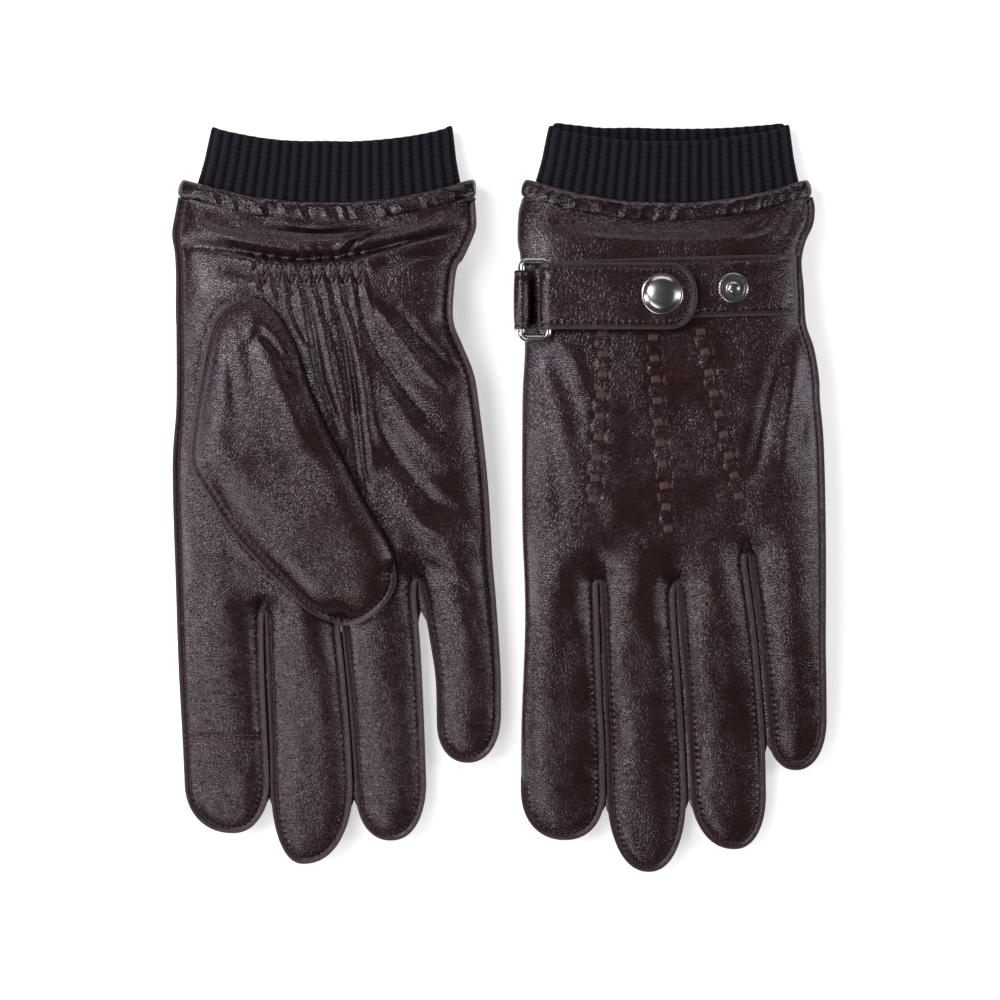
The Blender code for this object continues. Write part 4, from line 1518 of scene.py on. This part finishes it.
@dataclass
class Thumb:
    """The thumb over the palm: its arched base, and the leaf that lifts off the palm."""

    glove: Glove
    cut_back: float = 9.0     # the base ends this far before the hinge line
    creases: tuple = (
        Crease(((-27.0, 52.0), (-23.0, 58.0), (-17.0, 52.0), (-9.5, 38.0), (-4.0, 22.0)), 1.5, -1.1),
        Crease(((-20.0, 62.0), (-14.5, 54.0), (-7.0, 38.0), (-1.0, 24.0)), 1.3, 0.6),
        Crease(((-24.5, 50.0), (-20.0, 46.0), (-14.0, 34.0), (-8.0, 20.0)), 2.2, 0.55),
        Crease(((-36.0, 58.0), (-33.0, 46.0), (-31.0, 30.0)), 2.2, -0.5),
        Crease(((-44.0, 30.0), (-36.0, 16.0), (-24.0, 4.0), (-8.0, -8.0)), 4.0, 0.45),
        Crease(((-30.0, 60.0), (-26.0, 48.0), (-24.0, 34.0)), 2.6, -0.35),
    )

    def __post_init__(self) -> None:
        """Find the hinge line's middle, and the way forward from it."""
        a, b = (np.array(p) for p in THUMB_HINGE)
        across = (b - a) / np.linalg.norm(b - a)
        self.middle = (a + b) / 2
        self.forward = np.array([across[1], -across[0]])

    def ahead(self, x: Array, y: Array) -> Array:
        """Return how far places are past the hinge line."""
        return (x - self.middle[0]) * self.forward[0] + (y - self.middle[1]) * self.forward[1]

    def levels(self, x: Array, y: Array) -> tuple:
        """Return the palm's height under the thumb, and the thumb's full and middle height over it.

        Args:
            x, y: the pattern points.

        Returns:
            The three heights of each.
        """
        ys, tall = zip(*THUMB_HEIGHTS)
        full = np.interp(y, ys, tall) - 1.2 * ramp(self.ahead(x, y), 28.0, 52.0)
        return self.glove.skin(x, y) - 0.1, full, full / 2 * (1.0 - 0.35 * ramp(y, 15.0, 60.0))

    def relief(self, x: Array, y: Array, away: Array) -> Array:
        """Return the soft unevenness of the thumb's outer face.

        Args:
            x, y: the pattern points.
            away: their distance to the edge.

        Returns:
            The height of each, in millimetres.
        """
        seed = self.glove.pattern.seed + 40
        roll = 0.35 * noise(x, y, 19.0, seed) + 0.13 * noise(x, y, 7.0, seed + 1)
        return (roll + sum(crease.lift(x, y) for crease in self.creases)) * ramp(away, 2.5, 7.0)

    def outer(self, x: Array, y: Array, away: Array, fin: Array) -> Array:
        """Return w on the thumb's outer face.

        Args:
            x, y: the pattern points.
            away, fin: their distance to the edge, and the seam's fin there.

        Returns:
            The w of each.
        """
        palm, full, middle = self.levels(x, y)
        edge = middle + 0.75 * fin
        reach = 10.0
        t = np.clip((away - 2.2 * fin) / reach, 0.0, 1.0)
        dome = (1.0 - (1.0 - t) ** 2.2) ** (0.5 + 0.08 * fin)
        tall = edge + (full - edge) * dome - 0.4 * fin * bell(away - 2.0, 0.4)
        return -(palm + tall + self.relief(x, y, away))

    def inner(self, x: Array, y: Array, away: Array, fin: Array) -> Array:
        """Return w on the thumb's inner face, next to the palm.

        Args:
            x, y: the pattern points.
            away, fin: their distance to the edge, and the seam's fin there.

        Returns:
            The w of each.
        """
        palm, _, middle = self.levels(x, y)
        edge = middle - 0.75 * fin
        t = np.clip((away - 2.2 * fin) / 8.0, 0.0, 1.0)
        dome = (1.0 - (1.0 - t) ** 2.2) ** 0.5
        return -(palm + edge - (edge - 0.35) * dome)

    def seam(self, x: Array, y: Array) -> tuple:
        """Return the w of the seam's upper and lower outer faces.

        Args:
            x, y: the pattern points.

        Returns:
            The two heights of each.
        """
        palm, _, middle = self.levels(x, y)
        pair = -(palm + middle + 0.75), -(palm + middle - 0.75)
        return pair if self.glove.pattern.palm_up else pair[::-1]

    def region(self, x: Array, y: Array, upper: bool) -> Array:
        """Mark the base and the leaf."""
        return (self.ahead(x, y) > -self.cut_back).astype(int)

    def build(self) -> None:
        """Make the thumb's base and leaf, with their stitches."""
        glove = self.glove
        outline = glove.thumb_outline
        side = self.ahead(*outline.line.T) + self.cut_back
        marks = [i if abs(side[i]) < abs(side[i + 1]) else i + 1
                 for i in range(len(side) - 1) if side[i] * side[i + 1] <= 0.0]
        for i in marks:
            outline.line[i] -= self.forward * side[i]
        heights = [self.outer, self.inner] if glove.pattern.palm_up else [self.inner, self.outer]
        shell = Shell(glove.drape, outline, heights, self.seam)
        steps = (1.2, 2.4) if glove.pattern.palm_up else (2.0, 1.8)
        patch = shell.build(self.region, *steps, cuts=[tuple(marks[:2])])
        leather, thread = glove.palette[Finish.LEATHER], glove.palette[Finish.THREAD]
        places = np.vstack([shell.stitches(True), shell.stitches(False)])
        found = self.region(places[:, 0], places[:, 1], None)
        for k, (name, node) in enumerate((("thumb_base_leather", "thumb_base"), ("thumb_leather", "thumb"))):
            skin = make_object(glove.name(name), patch.part(k), leather)
            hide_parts(glove.name(node))
            stitches = make_object(glove.name(node + "_stitches"), capsules(glove.drape, places[found == k]),
                                   thread, smooth=False)
            for piece in (skin, stitches):
                if k == 0:
                    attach(piece, glove.body)
                else:
                    self.bend(piece)

    def bend(self, piece: Object) -> None:
        """Bake a piece's placement into its mesh; the span at the thumb's root is found, but nothing bends.

        Args:
            piece: the piece.
        """
        spots = [self.middle + self.forward * s for s in (-self.cut_back + 0.5, 7.0)]
        start, end = (self.glove.drape.spot(s[0], s[1], 0.0) for s in spots)
        self.glove.name("thumb_leaf")
        end[0]
        end[1]
        start[2]
        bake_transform(piece)
        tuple(start)


@dataclass
class Cuff:
    """The leather hem round the opening, and the ribbed knit cuff that comes out of it."""

    glove: Glove
    knit_rows: tuple = ((97.0, 45.4, 3.0), (104.0, 45.8, 3.6), (111.0, 45.6, 5.0), (121.0, 43.2, 5.6),
                        (131.3, 41.4, 6.2))    # (y, half of the width, half of the thickness)
    ribs: int = 50

    def loop(self, half_wide: float, half_thick: float, centre: float, power: float, count: int) -> tuple:
        """Return a closed cross-section of the cuff: x, w and the outward direction at each point.

        Args:
            half_wide, half_thick: half of its size.
            centre: the x of its middle.
            power: 2 for an ellipse, and more for a flatter loop.
            count: how many points.

        Returns:
            The x, the w, and the x and w of the outward directions.
        """
        turn = np.linspace(0.0, 2 * math.pi, count, endpoint=False)
        cos, sin = np.cos(turn), np.sin(turn)
        x = centre + half_wide * np.sign(cos) * np.abs(cos) ** (2.0 / power)
        w = half_thick * np.sign(sin) * np.abs(sin) ** (2.0 / power)
        walk = resample(np.stack([np.append(x, x[0]), np.append(w, w[0])], 1), 1.0)
        spots = np.linspace(0, len(walk) - 1, count + 1)[:-1]
        x, w = (np.interp(spots, np.arange(len(walk)), walk[:, k]) for k in (0, 1))
        ahead = np.stack([np.roll(x, -1) - np.roll(x, 1), np.roll(w, -1) - np.roll(w, 1)], 1)
        ahead /= np.linalg.norm(ahead, axis=1, keepdims=True)
        return x, w, ahead[:, 1], -ahead[:, 0]

    def hem(self) -> None:
        """Make the rolled hem, with the puckers that its stitching pulls into it."""
        glove = self.glove
        left, right = glove.pattern.cuff_span
        count = 420
        profile = ((104.4, -0.9), (104.7, 0.35), (105.2, 0.6), (105.6, 0.5), (105.9, 0.1), (106.2, 0.35),
                   (106.7, 0.8), (107.6, 1.05), (109.0, 1.15), (110.5, 1.1), (111.6, 0.8), (112.3, 0.2),
                   (112.4, -0.4), (111.8, -1.0), (109.0, -1.2), (105.5, -1.2))
        seed = glove.pattern.seed + 60
        rows, rest = [], []
        for y, out in profile:
            half = np.interp(y, (105.0, 112.0), ((right - left) / 2 + 0.3, (right - left) / 2 - 0.4))
            x, w, out_x, out_w = self.loop(half, 6.0, (left + right) / 2, 3.4, count)
            arc = np.arange(count) * 0.55
            puckers = 0.55 * noise(arc + y * 0.5, y * 0.4, 2.2, seed) + 0.3 * noise(arc, y, 7.0, seed + 1)
            reach = out + puckers * ramp(out, -0.2, 1.4)
            low = y + 0.5 * noise(arc, 0.0, 9.0, seed + 2) * ramp(out, -0.6, 1.0)
            rows.append(glove.drape.lay(x + reach * out_x, low, w + reach * out_w))
            rest.append(np.stack([arc, np.full(count, y + out), np.zeros(count)], 1))
        flip = glove.drape.up > 0
        patch = grid_patch(rows, rest, wrap=True, flip=not flip)
        hem = make_object(glove.name("hem_leather"), patch, glove.palette[Finish.LEATHER])
        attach(hem, glove.body)
        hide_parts(glove.name("cuff_hem"))

    def knit(self) -> None:
        """Make the knit cuff: a tube of ribs with a rolled rim, that turns down inside."""
        glove = self.glove
        ys, wide, thick = zip(*self.knit_rows)
        left, right = glove.pattern.cuff_span
        count = self.ribs * 8
        outside = [(y, 0.0) for y in np.linspace(97.0, 130.6, 27)]
        rim = [(131.3, -0.15), (131.6, -0.7), (131.3, -1.25)]
        inside = [(y, -1.5) for y in np.linspace(130.4, 98.0, 14)]
        rows, rest = [], []
        ribs = 0.5 + 0.5 * np.cos(np.arange(count) / 8 * 2 * math.pi)
        ribs = ribs ** 0.6
        for y, out in outside + rim + inside:
            half, deep = np.interp(y, ys, wide), np.interp(y, ys, thick)
            centre = (left + right) / 2 + np.interp(y, (112.0, 131.0), (0.3, 1.2))
            x, w, out_x, out_w = self.loop(half, deep, centre, 2.6, count)
            reach = out + 0.95 * ribs * (1.0 if out > -1.0 else 0.4)
            far = ramp(-glove.drape.up * w, 0.5, 3.0) * ramp(y, 112.0, 131.0) if glove.drape.up > 0 else 0.0
            near = ramp(glove.drape.up * w, 0.5, 3.0) * ramp(y, 112.0, 131.0)
            corner = 1.6 * np.abs((x - centre) / half) ** 3 * ramp(y, 114.0, 131.0)
            uneven = noise(np.arange(count) * 0.5, 0.0, 12.0, glove.pattern.seed + 70)
            low = y - 1.2 * near + corner + 0.25 * uneven
            rows.append(glove.drape.lay(x + reach * out_x, low, w + reach * out_w, far))
            arc = np.arange(count) / 8 * 3.6
            rest.append(np.stack([arc, np.full(count, y), np.full(count, out)], 1))
        patch = grid_patch(rows, rest, wrap=True, flip=not glove.drape.up > 0)
        # the rib heights go in the raw attribute, from which the knit paints shade into its grooves
        patch.raw = np.tile(ribs, len(rows))
        knit = make_object(glove.name("ribbed_cuff"), patch, glove.palette[Finish.KNIT])
        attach(knit, glove.body)
        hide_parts(glove.name("knit_cuff"))

    def lining(self) -> None:
        """Make the lining of the hand, as a flat bag that opens inside the cuff."""
        glove = self.glove
        left, right = glove.pattern.cuff_span
        count = 96
        rows, rest = [], []
        for y, half, deep in ((97.5, 44.0, 3.4), (90.0, 41.0, 3.6), (60.0, 40.0, 4.2), (20.0, 44.0, 4.2),
                              (-8.0, 44.0, 4.0), (-14.0, 40.0, 2.0), (-15.0, 30.0, 0.3)):
            x, w, _, _ = self.loop(half, deep, (left + right) / 2, 3.0, count)
            rows.append(glove.drape.lay(x, y, w))
            rest.append(np.stack([x, np.full(count, y), w], 1))
        patch = grid_patch(rows, rest, wrap=True, flip=glove.drape.up > 0)
        lining = make_object(glove.name("lining"), patch, glove.palette[Finish.LINING])
        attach(lining, glove.body)
        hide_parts(glove.name("hand_liner"))

    def build(self) -> None:
        """Make the hem, the knit and the lining."""
        self.hem()
        self.knit()
        self.lining()


@dataclass
class Lacing:
    """Three lace strips woven through slits in the back; each line ends with how many squares show."""

    glove: Glove
    lines: tuple = (((-25.3, 57.9), (-25.3, 44.6), (-26.5, 26.0), (-28.5, 0.2), 9),
                    ((-7.8, 56.5), (-5.8, 26.0), (-2.6, -10.0), 10),
                    ((8.7, 58.3), (14.0, 34.0), (22.0, 1.2), 9))
    nodes: tuple = ("lacing_inner", "lacing_middle", "lacing_outer")

    def build(self) -> None:
        """Make the squares where each strip shows."""
        glove = self.glove
        side = np.linspace(-1.0, 1.0, 9)
        across, along = np.meshgrid(side, side)
        flat_top = (1.0 - np.abs(across) ** 8) ** 0.5 * (1.0 - np.abs(along) ** 5) ** 0.6
        for line, node in zip(self.lines, self.nodes):
            path = resample(smooth_curve(line[:-1]), 0.1)
            spots = path[np.linspace(0, len(path) - 1, line[-1]).astype(int)]
            patches = []
            for k, spot in enumerate(spots):
                ahead = spots[min(k + 1, len(spots) - 1)] - spots[max(k - 1, 0)]
                ahead /= np.linalg.norm(ahead)
                turn = 0.12 * math.sin(k * 2.3 + glove.pattern.seed)
                ahead = np.array([ahead[0] - turn * ahead[1], ahead[1] + turn * ahead[0]])
                right = np.array([ahead[1], -ahead[0]])
                x = spot[0] + right[0] * across * LACE_HALF + ahead[0] * along * 1.85
                y = spot[1] + right[1] * across * LACE_HALF + ahead[1] * along * 1.85
                base = float(glove.skin(np.array([spot[0]]), np.array([spot[1]]))[0])
                w = base - 0.9 + (1.3 - 0.25 * along ** 2) * flat_top
                patch = grid_patch(glove.drape.lay(x, y, w), np.stack([x, y, w], -1), flip=glove.drape.up > 0)
                patches.append(patch)
            strip = make_object(glove.name(node + "_strip"), join(patches), glove.palette[Finish.LACING])
            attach(strip, glove.body)
            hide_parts(glove.name(node))


@dataclass
class TouchSeam:
    """The rows of stitches where the touch panel is sewn in, and the wrist's tacks."""

    glove: Glove
    rows: tuple = (-82.4, -84.5, -86.3)

    def build(self) -> None:
        """Make the three rows, and the small tacks at both ends of the gathers."""
        glove = self.glove
        leather = Leather(glove)
        height = leather.height(Face.PALM)
        places = []
        for row in self.rows:
            for x in np.arange(-50.2, -23.6, 1.55):
                places.append((x, row + 0.12 * math.sin(x * 1.7), 1.0, 0.0))
        rows = np.array(places)
        tacks = np.array([(x, y, 0.94, 0.35) for x in (-24.3, 12.6) for y in np.arange(75.0, 82.2, 0.8)])
        for name, group, body in (("touch_stitches", rows, "index"), ("gather_stitches", tacks, "glove")):
            x, y = group[:, 0], group[:, 1]
            away, fin = glove.outline.measure(x, y)
            w = height(x, y, away, fin) - 0.18
            spots = np.column_stack([x, y, w, group[:, 2], group[:, 3]])
            stitches = make_object(glove.name(name), capsules(glove.drape, spots, 1.35, 0.27),
                                   glove.palette[Finish.THREAD], smooth=False)
            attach(stitches, glove.name(body))


@dataclass
class FlapDrape(Drape):
    """Lays the flap: straight over the back, then round the ring's inner bar and under it."""

    bar: tuple = (-44.2, 9.9)    # the bar's x and w
    bend: float = 2.3            # from the bar to the flap's middle

    def lay(self, x: Array, y: Array, w: Array, straight: float = 0.0) -> Array:
        """Put points of the flap on the table; w is measured from the flap's own middle.

        Args:
            x, y, w: the points, in millimetres.
            straight: as in Drape.lay.

        Returns:
            The points as rows, in metres.
        """
        x, y, w = np.broadcast_arrays(*(np.asarray(v, float) for v in (x, y, w)))
        past = np.maximum(self.bar[0] - x, 0.0) / self.bend
        turn = np.minimum(past, math.pi)
        under = (past - turn) * self.bend
        reach = self.bend + w
        flat_x = np.where(past > 0.0, self.bar[0] - reach * np.sin(turn) + under, x)
        return super().lay(flat_x, y, self.bar[1] + reach * np.cos(turn))


def strip_outline(left: float, right: float, low: float, high: float, round_end: float = 0.0,
                  lean: float = 0.0) -> Outline:
    """Return the anticlockwise edge of a leather strip, as an Outline with cut edges all round.

    Args:
        left, right, low, high: its sides.
        round_end: radius of its rounded right-hand end.
        lean: how much its right-hand end is higher than its left.

    Returns:
        The outline.
    """
    bottom = [(left, high), (left, low)]
    if round_end:
        middle = (low + high) / 2
        turn = np.linspace(-math.pi / 2, math.pi / 2, 17)
        arc = [(right - round_end + round_end * math.cos(a) ** 0.8 if abs(a) < 1.57 else right - round_end,
                middle + (high - low) / 2 * math.sin(a)) for a in turn]
        bottom += arc
    else:
        bottom += [(right, low), (right, high)]
    line = resample(np.array(bottom + [(left, high)]), 0.9)[:-1]
    line[:, 1] += lean * (line[:, 0] - left) / (right - left)
    return Outline(line, np.ones(len(line)))


@dataclass
class Strap:
    """The strap across the wrist, its flap folded round the ring, the ring and the tab that holds it."""

    glove: Glove
    thick: float = 1.4
    ring_y: float = 69.1         # the ring's middle, along the hand
    ring_tall: float = 26.6
    cap_at: tuple = (-5.0, 70.9)

    @property
    def outer_bar(self) -> float:
        """The x of the ring's outer bar."""
        return -50.6 if self.glove.pattern.palm_up else -53.3

    def profile(self, away: Array) -> Array:
        """Return the relief of a strap's face, which is stitched down near its edge."""
        return 0.22 * ramp(away, 1.9, 4.5) - 0.3 * bell(away - 1.8, 0.35) - 0.25 * bell(away, 0.45)

    def leather_strip(self, name: str, outline: Outline, drape: Drape, lift: Callable, node: str, body: str,
                      marks: Callable) -> None:
        """Make one strip of the strap with its row of stitches.

        Args:
            name: the piece's name.
            outline: its edge.
            drape: lays it on the table.
            lift: a function of (x, y) that returns the w of the strip's middle.
            node, body: the node it stands for and the body it moves with.
            marks: a function of (x, y) that keeps the stitches that show.
        """
        glove = self.glove
        seed = glove.pattern.seed + 80

        def outer(x: Array, y: Array, away: Array, fin: Array) -> Array:
            """Return w on the strip's outer face."""
            soft = 0.16 * noise(x, y, 9.0, seed) + 0.1 * noise(x, y, 3.5, seed + 1)
            return lift(x, y) + self.thick / 2 + self.profile(away) + soft * ramp(away, 1.0, 4.0)

        def inner(x: Array, y: Array, away: Array, fin: Array) -> Array:
            """Return w on the strip's inner face."""
            return lift(x, y) - self.thick / 2

        def seam(x: Array, y: Array) -> tuple:
            """Return the w of the seam's upper and lower outer faces."""
            pair = lift(x, y) + self.thick / 2 - 0.2, lift(x, y) - self.thick / 2
            return pair if drape.up > 0 else pair[::-1]

        heights = [outer, inner] if drape.up > 0 else [inner, outer]
        shell = Shell(drape, outline, heights, seam, wall_in=0.0)
        patch = shell.build(one_region, 1.0, 1.3)
        piece = make_object(glove.name(name), patch, glove.palette[Finish.LEATHER])
        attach(piece, glove.name(body))
        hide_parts(glove.name(node))
        places = shell.stitches(drape.up > 0, 2.2, 1.8)
        places = places[marks(places[:, 0], places[:, 1])]
        stitches = make_object(glove.name(node + "_stitches"), capsules(drape, places, 1.5, 0.18),
                               glove.palette[Finish.THREAD], smooth=False)
        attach(stitches, glove.name(body))

    def base_lift(self, x: Array, y: Array) -> Array:
        """Return the w of the strap base's middle, resting on the back."""
        settle = 0.35 * ramp(x, 36.0, 44.0)
        return self.glove.skin(x, np.clip(y, 60.0, 88.0)) + 0.35 + self.thick / 2 - settle

    def tab(self) -> None:
        """Make the leather loop that holds the ring's outer bar."""
        glove = self.glove
        outer_x, bar_w = self.outer_bar, FlapDrape.bar[1]
        path = [(outer_x + math.cos(a) * 2.1, bar_w + math.sin(a) * 2.1, math.cos(a), math.sin(a))
                for a in np.radians(np.linspace(-60.0, 180.0, 25))]
        path += [(outer_x - 2.1, w, -1.0, 0.0) for w in np.linspace(8.9, 0.6, 8)]
        half = 10.1
        section = [(-half, -0.5), (-half, 0.3), (-half + 0.25, 0.5), (-half + 1.2, 0.52), (-half + 1.7, 0.3),
                   (-half + 2.3, 0.55), (-half + 5.0, 0.68), (0.0, 0.72)]
        section += [(-a, b) for a, b in section[-2::-1]]
        section += [(half, -0.5), (0.0, -0.5)]
        rows, rest = [], []
        for k, (x, w, out_x, out_w) in enumerate(path):
            y = np.array([self.ring_y + a for a, _ in section])
            out = np.array([b for _, b in section])
            rows.append(glove.drape.lay(x + out_x * out, y, w + out_w * out))
            rest.append(np.stack([y, np.full(len(y), k * 0.4), out], 1))
        patch = grid_patch(rows, rest, wrap=True, flip=not glove.drape.up > 0)
        count = len(patch.points)
        ends = [tuple(range(len(section)))[::-1], tuple(range(count - len(section), count))]
        patch.faces += ends if glove.drape.up < 0 else [end[::-1] for end in ends]
        tab = make_object(glove.name("ring_tab_leather"), patch, glove.palette[Finish.LEATHER], smooth=False)
        tab.data.set_sharp_from_angle(angle=math.radians(50.0))
        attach(tab, glove.body)
        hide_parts(glove.name("ring_tab"))

    def ring(self) -> None:
        """Bend the wire ring: a rounded rectangle of polished wire."""
        inner_bar, bar_w = FlapDrape.bar
        bpy.ops.object.select_all(action="DESELECT")
        bpy.ops.mesh.primitive_plane_add(size=1.0, location=(0.0, 0.0, 0.0))
        ring = bpy.context.object
        bpy.ops.transform.resize(value=((inner_bar - self.outer_bar) * MM, self.ring_tall * MM, 1.0))
        bpy.ops.object.transform_apply(location=False, rotation=False, scale=True)
        bpy.ops.object.mode_set(mode="EDIT")
        bpy.ops.mesh.select_all(action="SELECT")
        bpy.ops.mesh.bevel(offset=2.2 * MM, segments=7, affect="VERTICES")
        bpy.ops.mesh.delete(type="ONLY_FACE")
        bpy.ops.object.mode_set(mode="OBJECT")
        bpy.ops.object.convert(target="CURVE")
        ring.data.bevel_depth = 1.3 * MM
        ring.data.bevel_resolution = 6
        bpy.ops.object.convert(target="MESH")
        bpy.ops.object.shade_smooth()
        middle = self.glove.drape.spot((self.outer_bar + inner_bar) / 2, self.ring_y, bar_w)
        bpy.ops.transform.translate(value=middle)
        self.settle(ring, "wire_ring", "ring", "buckle_ring")

    def settle(self, piece: Object, name: str, node: str, body: str) -> None:
        """Name a metal piece, give it its finish and let it move with its body.

        Args:
            piece: the piece.
            name: its name.
            node, body: the node it stands for and the body it moves with.
        """
        glove = self.glove
        bpy.ops.object.transform_apply(location=True, rotation=True, scale=True)
        piece.name = glove.name(name)
        piece.data.materials.clear()
        piece.data.materials.append(glove.palette[Finish.METAL])
        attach(piece, glove.name(body))
        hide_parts(glove.name(node))
        LOG.info("%s: %d faces", piece.name, len(piece.data.polygons))

    def turned(self, name: str, centre: tuple, profile: tuple, node: str, body: str, flutes: int = 0) -> None:
        """Turn a round metal piece, drawn out ring by ring from its foot.

        Args:
            name: the piece's name.
            centre: its place on the pattern.
            profile: (radius, w) of each ring, from the foot to the crown.
            node, body: the node it stands for and the body it moves with.
            flutes: how many small ridges stand round its rim.
        """
        glove, up = self.glove, self.glove.drape.up
        bpy.ops.object.select_all(action="DESELECT")
        radius, w = profile[0]
        foot = glove.drape.spot(*centre, w)
        bpy.ops.mesh.primitive_circle_add(vertices=72, radius=radius * MM, fill_type="NGON", location=foot)
        piece = bpy.context.object
        bpy.ops.object.mode_set(mode="EDIT")
        bpy.ops.mesh.select_all(action="SELECT")
        for following, height in profile[1:]:
            rise = (height - w) * up * MM
            if following <= 0.0:
                following = 0.001
            bpy.ops.mesh.extrude_region_move(TRANSFORM_OT_translate={"value": (0.0, 0.0, rise)})
            scale = following / radius
            bpy.ops.transform.resize(value=(scale, scale, 1.0))
            radius, w = following, height
        bpy.ops.mesh.select_all(action="SELECT")
        bpy.ops.mesh.normals_make_consistent(inside=False)
        bpy.ops.object.mode_set(mode="OBJECT")
        made = [piece]
        for k in range(flutes):
            angle = 2 * math.pi * k / flutes
            spot = glove.drape.spot(centre[0] + 4.72 * math.cos(angle), centre[1] + 4.72 * math.sin(angle),
                                    HALF_THICK + 2.95)
            bpy.ops.mesh.primitive_cube_add(size=1.0, location=spot, rotation=(0.0, 0.0, angle))
            bpy.ops.transform.resize(value=(0.85 * MM, 0.34 * MM, 0.5 * MM), orient_type="LOCAL")
            made.append(bpy.context.object)
        bpy.ops.object.select_all(action="DESELECT")
        for each in made:
            each.select_set(True)
        bpy.context.view_layer.objects.active = piece
        bpy.ops.object.transform_apply(location=True, rotation=True, scale=True)
        if flutes:
            bpy.ops.object.join()
        bpy.ops.object.shade_smooth_by_angle(angle=math.radians(40.0))
        self.settle(piece, name, node, body)

    def build(self) -> None:
        """Make the strap, the ring and the snap's parts."""
        glove = self.glove
        base = strip_outline(-39.4, 42.8, 61.8, 83.0, lean=2.3)
        self.leather_strip("strap", base, glove.drape, self.base_lift, "strap_base", "glove",
                           lambda x, y: x > -1.0)
        tucked = FlapDrape.bar[0] - math.pi * FlapDrape.bend - 3.0
        flap = strip_outline(tucked, 7.3, 58.8, 81.9, round_end=10.5)
        self.leather_strip("flap", flap, FlapDrape(glove.pattern, glove.drape.centre_x),
                           lambda x, y: np.zeros(np.shape(x)), "strap_flap", "flap", lambda x, y: x > -44.0)
        self.tab()
        self.ring()
        top = HALF_THICK + 6.3
        cap = ((6.3, top), (7.0, top + 0.15), (7.25, top + 0.45), (7.1, top + 0.8), (6.7, top + 0.98),
               (6.35, top + 0.92), (6.1, top + 1.1), (5.6, top + 1.5), (4.8, top + 1.85), (3.6, top + 2.12),
               (2.2, top + 2.26), (1.0, top + 2.3), (0.3, top + 2.3))
        self.turned("cap", self.cap_at, cap, "snap_cap", "flap")
        low = HALF_THICK + 1.75
        stud = ((5.2, low), (5.45, low + 0.35), (5.35, low + 0.75), (4.95, low + 1.05), (4.5, low + 1.15),
                (3.9, low + 1.05), (3.7, low + 0.55), (2.6, low + 0.5), (2.2, low + 0.6), (2.05, low + 1.3),
                (2.25, low + 1.9), (1.9, low + 2.4), (1.2, low + 2.6), (0.4, low + 2.65))
        self.turned("spare_stud", glove.stud_at, stud, "stud_outer", "glove", flutes=30)


@dataclass
class Studio:
    """A pale table, soft lights and the camera."""

    lights: tuple = (("key light", (-0.46, 0.30, 0.92), (0.26, 0.60), 5.7),
                     ("left light", (-1.0, -0.15, 0.50), (0.35, 1.0), 6.6),
                     ("right light", (0.90, 0.05, 0.50), (0.30, 1.0), 4.6),
                     ("top light", (0.1, 1.1, 0.50), (1.2, 0.30), 3.8),
                     ("low light", (-0.34, -0.48, 0.92), (0.50, 0.25), 2.8))

    def build(self) -> None:
        """Make the table, the lights and the camera."""
        bpy.ops.object.select_all(action="DESELECT")
        bpy.ops.mesh.primitive_plane_add(size=6.0, location=(0.0, 0.0, -0.0006))
        table = bpy.context.object
        table.name = "table"
        nodes = Nodes("table")
        nodes.set(Base_Color=(0.86, 0.86, 0.86, 1.0), Roughness=0.9, Specular_IOR_Level=0.0,
                  Emission_Color=(1.0, 1.0, 1.0, 1.0), Emission_Strength=0.52)
        table.data.materials.append(nodes.material)
        for name, place, size, power in self.lights:
            light = bpy.data.lights.new(name, "AREA")
            light.shape = "RECTANGLE"
            light.size, light.size_y = size
            light.energy = power
            light.color = (0.95, 0.95, 1.0)
            lamp = bpy.data.objects.new(name, light)
            lamp.location = place
            lamp.rotation_euler = (-Vector(place)).to_track_quat("-Z", "Y").to_euler()
            bpy.context.scene.collection.objects.link(lamp)
        world = bpy.data.worlds.new("soft white room")
        world.use_nodes = True
        background = world.node_tree.nodes["Background"]
        background.inputs["Color"].default_value = (0.95, 0.97, 1.0, 1.0)
        background.inputs["Strength"].default_value = 0.06
        scene = bpy.context.scene
        scene.world = world
        scene.view_settings.view_transform = "Standard"
        lens = bpy.data.cameras.new("camera")
        lens.lens, lens.sensor_width = 100.0, 36.0
        camera = bpy.data.objects.new("camera", lens)
        camera.location = (0.0011, 0.0, 0.984)
        scene.collection.objects.link(camera)
        scene.camera = camera


def dress_frame(palette: Palette) -> None:
    """Give the pieces of the frame that stay in view their finishes.

    Args:
        palette: the finishes.
    """
    finishes = {"wrist_elastic": Finish.ELASTIC, "snap_socket": Finish.METAL,
                "stud_inner": Finish.METAL}
    for side in ("left", "right"):
        for node, finish in finishes.items():
            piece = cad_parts[f"{side}_{node}"]
            for slot in range(len(piece.data.materials)):
                piece.data.materials[slot] = palette[finish]


def main() -> None:
    """Build both gloves on their table."""
    logging.basicConfig(level=logging.INFO, format="%(message)s")
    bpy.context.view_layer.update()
    palette = Palette()
    dress_frame(palette)
    for pattern in (RIGHT, LEFT):
        glove = Glove(pattern, palette)
        for piece in (Leather, Thumb, Cuff, Lacing, TouchSeam, Strap):
            piece(glove).build()
    Studio().build()


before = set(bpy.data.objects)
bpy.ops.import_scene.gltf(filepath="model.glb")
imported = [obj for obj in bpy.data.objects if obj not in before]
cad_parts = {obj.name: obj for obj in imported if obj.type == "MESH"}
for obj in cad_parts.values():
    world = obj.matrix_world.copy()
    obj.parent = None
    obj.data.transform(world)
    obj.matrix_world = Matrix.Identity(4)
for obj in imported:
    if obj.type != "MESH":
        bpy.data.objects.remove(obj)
if __name__ == "__main__":
    main()
